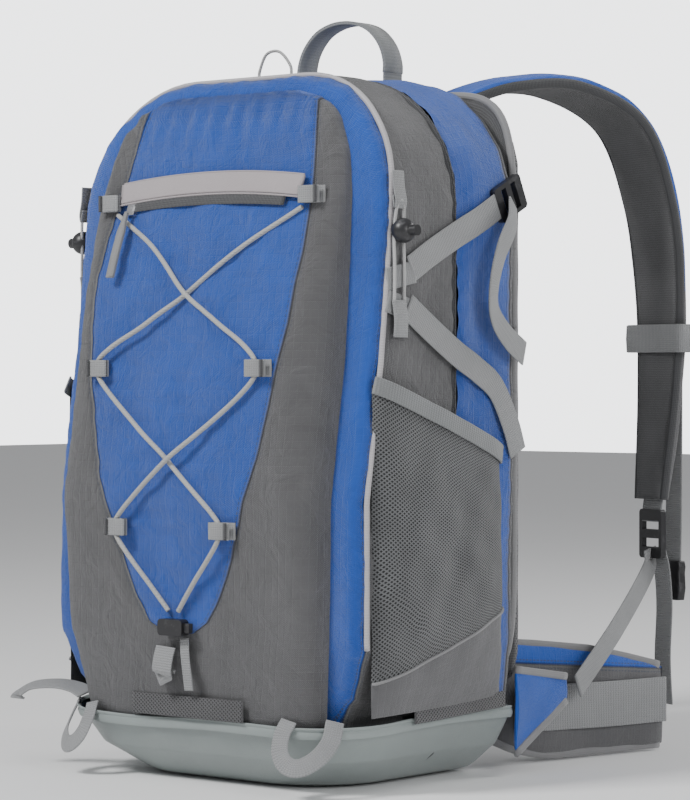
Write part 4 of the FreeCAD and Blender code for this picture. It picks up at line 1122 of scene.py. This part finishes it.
def makeAnchors(sign, side):
    # the sewn block that the strap grows out of
    path = np.array([[48, 113.4, 488], [48, 113.6, 500], [48, 113.6, 513]]) * mm * [sign, 1, 1]
    piece = sweep("anchor_" + side, smoothLine(path, 24), [0, 1.0, 0],
                  padProfile(0.060, 0.0115, 5, 36))
    dress(piece, greyCloth, "pack", ["strap_anchors"])


def makeLowerWebbing(sign, side):
    # from the adjuster to the hook on the panel, its loose tail, and the loop through the adjuster
    start = onStrap(sign, [[0, 0.226, 0.140]])[0]
    hook = np.array([sign * 0.1475, 0.186, 0.059])
    middle = (start + hook) / 2 + [sign * 0.004, 0, 0.001]
    body = f"strap_{side}"
    near = onStrap(sign, [[0, 0.228, 0.158]])[0]
    sewn("lower_run_" + side, [near, start, middle, hook], (sign, 0.1, 0), webWide, webThick, 80,
         body, ["lower_webbing_" + side])
    out = direction(onStrap, sign, (0, 1.0, 0))
    tail = np.array([(0, 236, 158), (0, 241, 140), (0, 243.5, 110), (2, 240, 68), (1, 243, 30)]) * mm
    sewn("lower_tail_" + side, onStrap(sign, tail), out, webWide, webThick, 80, body)
    top = onStrap(sign, np.array([(0, 233, 205), (0, 231, 195), (0, 229.5, 184), (0, 229, 180)]) * mm)
    sewn("adjuster_loop_" + side, top, out, 0.024, 0.0018, 40, body)


def ringPath(half, low, high, count=60):
    # rounded rectangle in the XY plane
    r = 0.003
    corners = []
    places = ((half - r, high - r), (-half + r, high - r), (-half + r, low + r), (half - r, low + r))
    for turn, (cx, cy) in enumerate(places):
        a = np.radians(np.linspace(90 * turn, 90 * turn + 90, 7))
        corners.append(np.stack([cx + r * np.cos(a), cy + r * np.sin(a)], 1))
    ring = np.vstack(corners)
    return resample(np.vstack([ring, ring[:1]]), count)


def makeSternum(sign, side):
    # a webbing sleeve round the strap, half of the chest strap, and half of its buckle
    ring = ringPath(0.0338, 0.2312, 0.2498)
    rows = []
    for z, grow in ((0.3185, 0.0), (0.3192, 0.0009), (0.330, 0.0013), (0.3408, 0.0009), (0.3415, 0.0)):
        centre = np.array([0, 0.2405])
        out = centre + (ring - centre) * (1 + grow / 0.02)
        rows.append(onStrap(sign, np.stack([out[:, 0], out[:, 1], np.full(len(out), z)], 1)))
    grid = np.stack(rows, 1)
    piece = gridMesh("sternum_sleeve_" + side, grid, surfaceUv(grid), weld=True)
    dress(piece, webCloth, f"sternum_slider_{side}", [f"sternum_slider_{side}"])
    thicken = piece.modifiers.new("thickness", "SOLIDIFY")
    thicken.thickness = 0.0012
    out = direction(onStrap, sign, (0, 1.0, 0))
    y = 0.2526
    body = f"sternum_strap_{side}"
    path = onStrap(sign, [(0, y, 0.331), (0, y + 0.0012, 0.300), (0.001, y + 0.0004, 0.250),
                          (0, y + 0.001, 0.190), (0, y, 0.142)])
    sewn("sternum_webbing_" + side, path, out, webWide, webThick, 80, body, [f"sternum_strap_{side}"])
    path = resample(onStrap(sign, [(0, y + 0.0014, z) for z in (0.147, 0.140, 0.122, 0.115)]), 30)
    wide = np.interp(np.linspace(0, 1, 30), [0, 0.15, 0.3, 0.7, 1], [21, 24, 22, 24, 20]) * mm
    piece = sweep("sternum_buckle_" + side, path, out, padProfile(1, 0.0085, 6, 40), wide)
    dress(piece, plastic, body)
    if sign < 0:
        for k in (-1, 0, 1):
            prong = onStrap(sign, [(k * x, y + 0.0014, z) for x, z in
                                   ((0.006, 0.116), (0.0058, 0.108), (0.0045, 0.1))])
            dress(tube(f"sternum_prong_{k + 1}", prong, 0.0016, 16, 8), plastic, body)


wingShape = {"length": 0.190, "half": 0.0045, "fold": 0.0020, "binding": (0.0070, 0.0054),
             "topColor": (0.080, 0.064)}


def makeWing(sign, side):
    # padded belt wing: grey shell with a blue top, bound along its top and bottom, with its webbing and
    # buckle
    u = np.linspace(0, 1, 90)
    y = wingShape["length"] * u
    low = np.interp(y, [0, 0.03, 0.06, 0.08, 0.19], [23, 11, 4.5, 3.4, 3.4]) * mm
    high = np.interp(y, [0, 0.05, 0.11, 0.15, 0.19], [95.5, 91, 84, 75.5, 66]) * mm
    t = np.linspace(0, 2 * math.pi, 48, endpoint=False)
    ring = np.stack([squared(np.cos(t), 0.62), squared(np.sin(t), 0.45)], 1)
    end = np.interp(u, [0, 0.02, 0.96, 0.99, 1], [0.8, 1, 1, 0.75, 0.25])
    reach = (high - low)[:, None] / 2 * ring[None, :, 1] * (0.97 + 0.03 * end[:, None])
    z = (low + high)[:, None] / 2 + reach
    x = wingShape["half"] * ring[None, :, 0] * end[:, None] + 0 * z
    points = np.stack([x, np.broadcast_to(y[:, None], z.shape), z], -1)
    wave = folds(points.reshape(-1, 3) * [0, 1.0, 0.7], wingShape["fold"], 0.04, 51).reshape(z.shape)
    points[..., 0] += wave * ring[None, :, 0] * 0.8
    grid = onWing(sign, points.reshape(-1, 3)).reshape(points.shape)
    zone = points[..., 2] - np.interp(points[..., 1], [0, wingShape["length"]], wingShape["topColor"])
    uv = uvGrid(y, np.linspace(0, 0.19, 49))
    if sign > 0:
        grid, zone = grid[:, ::-1], zone[:, ::-1]
    piece = gridMesh("wing_cover_" + side, grid, uv, wrap=True, caps=True, attributes={"seam": zone})
    body = f"hip_wing_{side}"
    dress(piece, wingCover, body, [f"hip_wing_{side}"])
    for name, edge in (("top", high), ("bottom", low)):
        path = onWing(sign, np.stack([0 * y, y, edge], 1))
        out = direction(onWing, sign, (1.0, 0, 0))
        piece = sweep(f"wing_binding_{name}_{side}", path[::3], out,
                      padProfile(*wingShape["binding"], 2.6, 16))
        dress(piece, tapeCloth, body)
    out = direction(onWing, sign, (1.0, 0, 0)) * sign
    path = np.array([(sign * 5.6, 28, 42), (sign * 6.1, 80, 41), (sign * 6.4, 130, 40),
                     (sign * 6.1, 188, 40)]) * mm
    path = onWing(sign, path)
    sewn("hip_webbing_run_" + side, path, out, 0.036, 0.0017, 80, body, [f"hip_webbing_{side}"])
    lay = -sign * 0.0095
    path = onWing(sign, [(lay * 0.6, 0.1895, 0.040), (lay, 0.186, 0.040), (lay, 0.150, 0.040),
                         (lay, 0.106, 0.040)])
    sewn("hip_end_" + side, path, out, 0.037, 0.0017, 60, f"hip_buckle_{side}", [f"hip_buckle_{side}"])
    corner = min(lay, lay - sign * 0.012) - sign * 0.001 + sign * 0.005 + 0.006
    path = resample(onWing(sign, np.array([(corner, 0.104, 0.040), (corner, 0.054, 0.040)])), 40)
    share = np.linspace(0, 1, 40)
    wide = np.interp(share, [0, 0.08, 0.3, 0.55, 0.9, 1], [44, 49, 46, 42, 48, 44]) * mm
    thick = np.interp(share, [0, 0.06, 0.5, 0.94, 1], [8, 11, 11.5, 11, 8]) * mm
    piece = sweep("hip_clip_" + side, path, out, padProfile(1, 1, 6, 48), wide, thick)
    dress(piece, plastic, f"hip_buckle_{side}")


def makeStabiliser(sign, side):
    # triangular blue panel from the bag to the webbing's hook, bound along its slopes
    u = np.linspace(0, 1, 50)
    y = 0.1065 + u * 0.0655
    low = np.interp(u, [0, 1], [0.014, 0.050])
    high = np.interp(u, [0, 1], [0.078, 0.068])
    t = np.linspace(0, 2 * math.pi, 32, endpoint=False)
    z = (low + high)[:, None] / 2 + (high - low)[:, None] / 2 * np.sin(t)[None]
    places = np.stack([0 * z, y[:, None] + 0 * z, z], -1).reshape(-1, 3)
    bow = 0.0016 * np.cos(t)[None] * np.ones_like(z) + folds(places, 0.0012, 0.03, 61).reshape(z.shape)
    grid = np.stack([sign * (0.1478 + bow), y[:, None] + 0 * z, z], -1)
    if sign < 0:
        grid = grid[::-1]
    piece = gridMesh("stabiliser_" + side, grid, None, wrap=True, caps=True)
    dress(piece, blueCloth, "pack", ["wing_stabilisers"])
    for name, edge in (("top", high), ("bottom", low)):
        path = np.stack([0 * u + sign * 0.1478, y, edge], 1)
        piece = sweep(f"stabiliser_edge_{name}_{side}", path[::4], [sign, 0.0, 0],
                      padProfile(0.006, 0.0042, 2.6, 14))
        dress(piece, tapeCloth)


haulShape = {"y": 0.088, "centre": 0.530, "thick": 0.0026}


def makeHaulLoop():
    # webbing arch folded double along its middle, on two sewn feet
    y = haulShape["y"]
    path = np.array([(-42, 532.6), (-42, 540), (-39, 550), (-33, 559), (-24, 566.5), (-12, 571), (0, 572.3),
                     (12, 571), (24, 566.5), (33, 559), (39, 550), (42, 540), (42, 532.6)]) * mm
    line = np.stack([path[:, 0], np.full(len(path), y), path[:, 1]], 1)
    line = smoothLine(line, 120)
    outward = unit(line - [0, y, haulShape["centre"]])
    share = np.abs(np.linspace(-1, 1, 120))
    wide = np.interp(share, [0, 0.5, 0.9, 1], [0.019, 0.020, 0.0215, 0.022])
    piece = sweep("haul_arch", line, outward, flatProfile(1, haulShape["thick"]), wide)
    dress(piece, bindCloth, "haul_loop", ["haul_loop"])
    for sign, side in sides:
        foot = np.array([(55, 521.4), (49, 522.6), (44, 523.6), (42, 526.5), (42, 533.5)]) * mm * [sign, 1]
        line = np.stack([foot[:, 0], np.full(5, y), foot[:, 1]], 1)
        sewn("haul_foot_" + side, line, (sign * 0.7, 0, 0.7), 0.022, 0.0024, 40,
             "pack", ["haul_loop_feet"], material=bindCloth)


padShape = {"low": 0.066, "high": 0.484, "centres": (-0.0925, 0.0, 0.0925), "half": (0.0510, 0.039, 0.0510),
            "face": 0.1134, "board": 0.1079, "swell": 0.0055, "rib": 0.0006, "ribStep": 0.052}
panelShape = {"half": (0.146, 0.227), "centre": np.array([0, 0.287]), "power": 0.25, "edge": 0.1062}


def makeBackPanel():
    # three spacer-mesh pads with channels between them, on a bound board
    z = np.linspace(padShape["low"], padShape["high"], 150)
    t = np.linspace(0, 2 * math.pi, 60, endpoint=False)
    reach = np.interp(z, [0.066, 0.072, 0.09, 0.46, 0.478, 0.484], [0.7, 0.9, 1, 1, 0.9, 0.7])
    ribs = padShape["rib"] * np.sin(z * 2 * math.pi / padShape["ribStep"])
    swell = (padShape["swell"] * reach ** 2 + ribs)[:, None]
    y = np.maximum(padShape["face"] + swell * squared(np.sin(t), 0.5), padShape["board"])
    for index, (centre, half) in enumerate(zip(padShape["centres"], padShape["half"])):
        x = centre + half * reach[:, None] * squared(np.cos(t), 0.5)
        grid = np.stack([x, y, z[:, None] + 0 * x], -1)
        piece = gridMesh(f"back_pad_{index}", grid, uvGrid(z, np.linspace(0, 0.2, 61)), wrap=True, caps=True)
        dress(piece, padNet, "pack", ["back_pads"])
    t = np.linspace(0, 2 * math.pi, 120, endpoint=False)
    power = panelShape["power"]
    outline = np.stack([squared(np.cos(t), power), squared(np.sin(t), power)], 1) * panelShape["half"]
    outline = outline + panelShape["centre"]
    steps = ((0.02, 0.1080), (0.9, 0.1080), (0.985, 0.1078), (1.0, 0.1068), (1.0, 0.1052), (0.985, 0.1045),
             (0.9, 0.1043), (0.02, 0.1043))
    grid = np.stack(scaledRings(outline, panelShape["centre"], steps))
    uv = uvGrid(np.cumsum([0, 0.2, 0.02, 0.003, 0.002, 0.003, 0.02, 0.2]), np.linspace(0, 1.5, 121))
    piece = gridMesh("back_panel", grid, uv, wrap=True)
    dress(piece, padNet, "pack", ["back_board"])
    ring = np.stack([outline[:, 0], np.full(120, panelShape["edge"]), outline[:, 1]], 1)
    piece = tube("back_binding", np.vstack([ring, ring[:2]]), 0.0030, 260, 10)
    dress(piece, tapeCloth)


sleeveShape = {"half": (0.1045, 0.1695), "centre": np.array([0, 0.19]), "power": 0.2}


def makeWaterSleeve():
    # flat sleeve for a water bag inside the rear wall, its rim a rounded outline scaled by k
    t = np.linspace(0, 2 * math.pi, 120, endpoint=False)
    power = sleeveShape["power"]
    outline = np.stack([squared(np.cos(t), power), squared(np.sin(t), power)], 1) * sleeveShape["half"]
    steps = ((0.02, 0.0990), (0.6, 0.0990), (0.94, 0.0984), (1.0, 0.0962), (1.0, 0.0890), (0.94, 0.0868),
             (0.6, 0.0862), (0.02, 0.0862))
    rows = scaledRings(outline + sleeveShape["centre"], sleeveShape["centre"], steps)
    uv = uvGrid(np.cumsum([0, 0.1, 0.06, 0.01, 0.007, 0.01, 0.06, 0.1]), np.linspace(0, 1.1, 121))
    piece = gridMesh("water_sleeve_cloth", np.stack(rows), uv, wrap=True, caps=True)
    dress(piece, greyCloth, "pack", ["water_sleeve"])


for sign, side in sides:
    makeShoulderStrap(sign, side)
    makeAnchors(sign, side)
    makeLowerWebbing(sign, side)
    makeSternum(sign, side)
    makeWing(sign, side)
    makeStabiliser(sign, side)
makeHaulLoop()
makeBackPanel()
makeWaterSleeve()
print("harness made")


def makePulls():
    # cord loop and tab on the main sliders, and the front zip's puller
    route = np.array([(-8, 28, 527.3), (-9, 28, 537.3), (-20, 28, 548.3), (-33, 28, 547.3), (-40, 28, 535.3),
                      (-41, 28, 527.8)]) * mm
    piece = tube("zip_loop_cord", route, 0.0012, 90, 10)
    dress(piece, thinBraid, "zip_loop_right", ["zip_loop_right"])
    path = np.array([(-56.5, 28, 525.6), (-62, 28, 526.0), (-71.5, 28, 525.7)]) * mm
    sewn("zip_tab_cloth", path, (0, 0, 1), 0.008, 0.0019, 24, "zip_tab_left", ["zip_tab_left"])
    down = np.array([0, -24, -65]) / math.hypot(24, 65)
    start = np.array([-0.078, -0.0794, 0.4225])
    share = np.linspace(0, 0.053, 24)[:, None]
    path = start + down * share + np.array([0.0, -0.0008, 0]) * np.sin(share * 60)
    wide = np.interp(np.linspace(0, 1, 24), [0, 0.12, 0.3, 1], [0.003, 0.004, 0.0072, 0.0072])
    piece = sweep("front_puller_tab", path, [0, -0.94, 0.35], flatProfile(1, 0.002), wide)
    dress(piece, tapeCloth, "front_puller", ["front_puller"])


makePulls()
hard = {"black_plastic": plastic, "zip_metal": metal, "stiffener": sheetPlastic, "webbing": webCloth,
        "coated_fabric": bootCloth, "grey_fabric": greyCloth, "blue_fabric": blueCloth,
        "spacer_mesh": padNet, "cord": thinBraid, "piping": pipeCloth, "zip_tape": zipTape}
slotOf = {part["node"]: part["material_slot"] for part in frame["record"]["subparts"]}
for name, node in frame["nodes"].items():
    node.data.materials.clear()
    node.data.materials.append(hard.get(slotOf.get(name), plastic))
shown = sorted(name for name, node in frame["nodes"].items() if not node.hide_render)
print("CAD nodes shown:", shown)
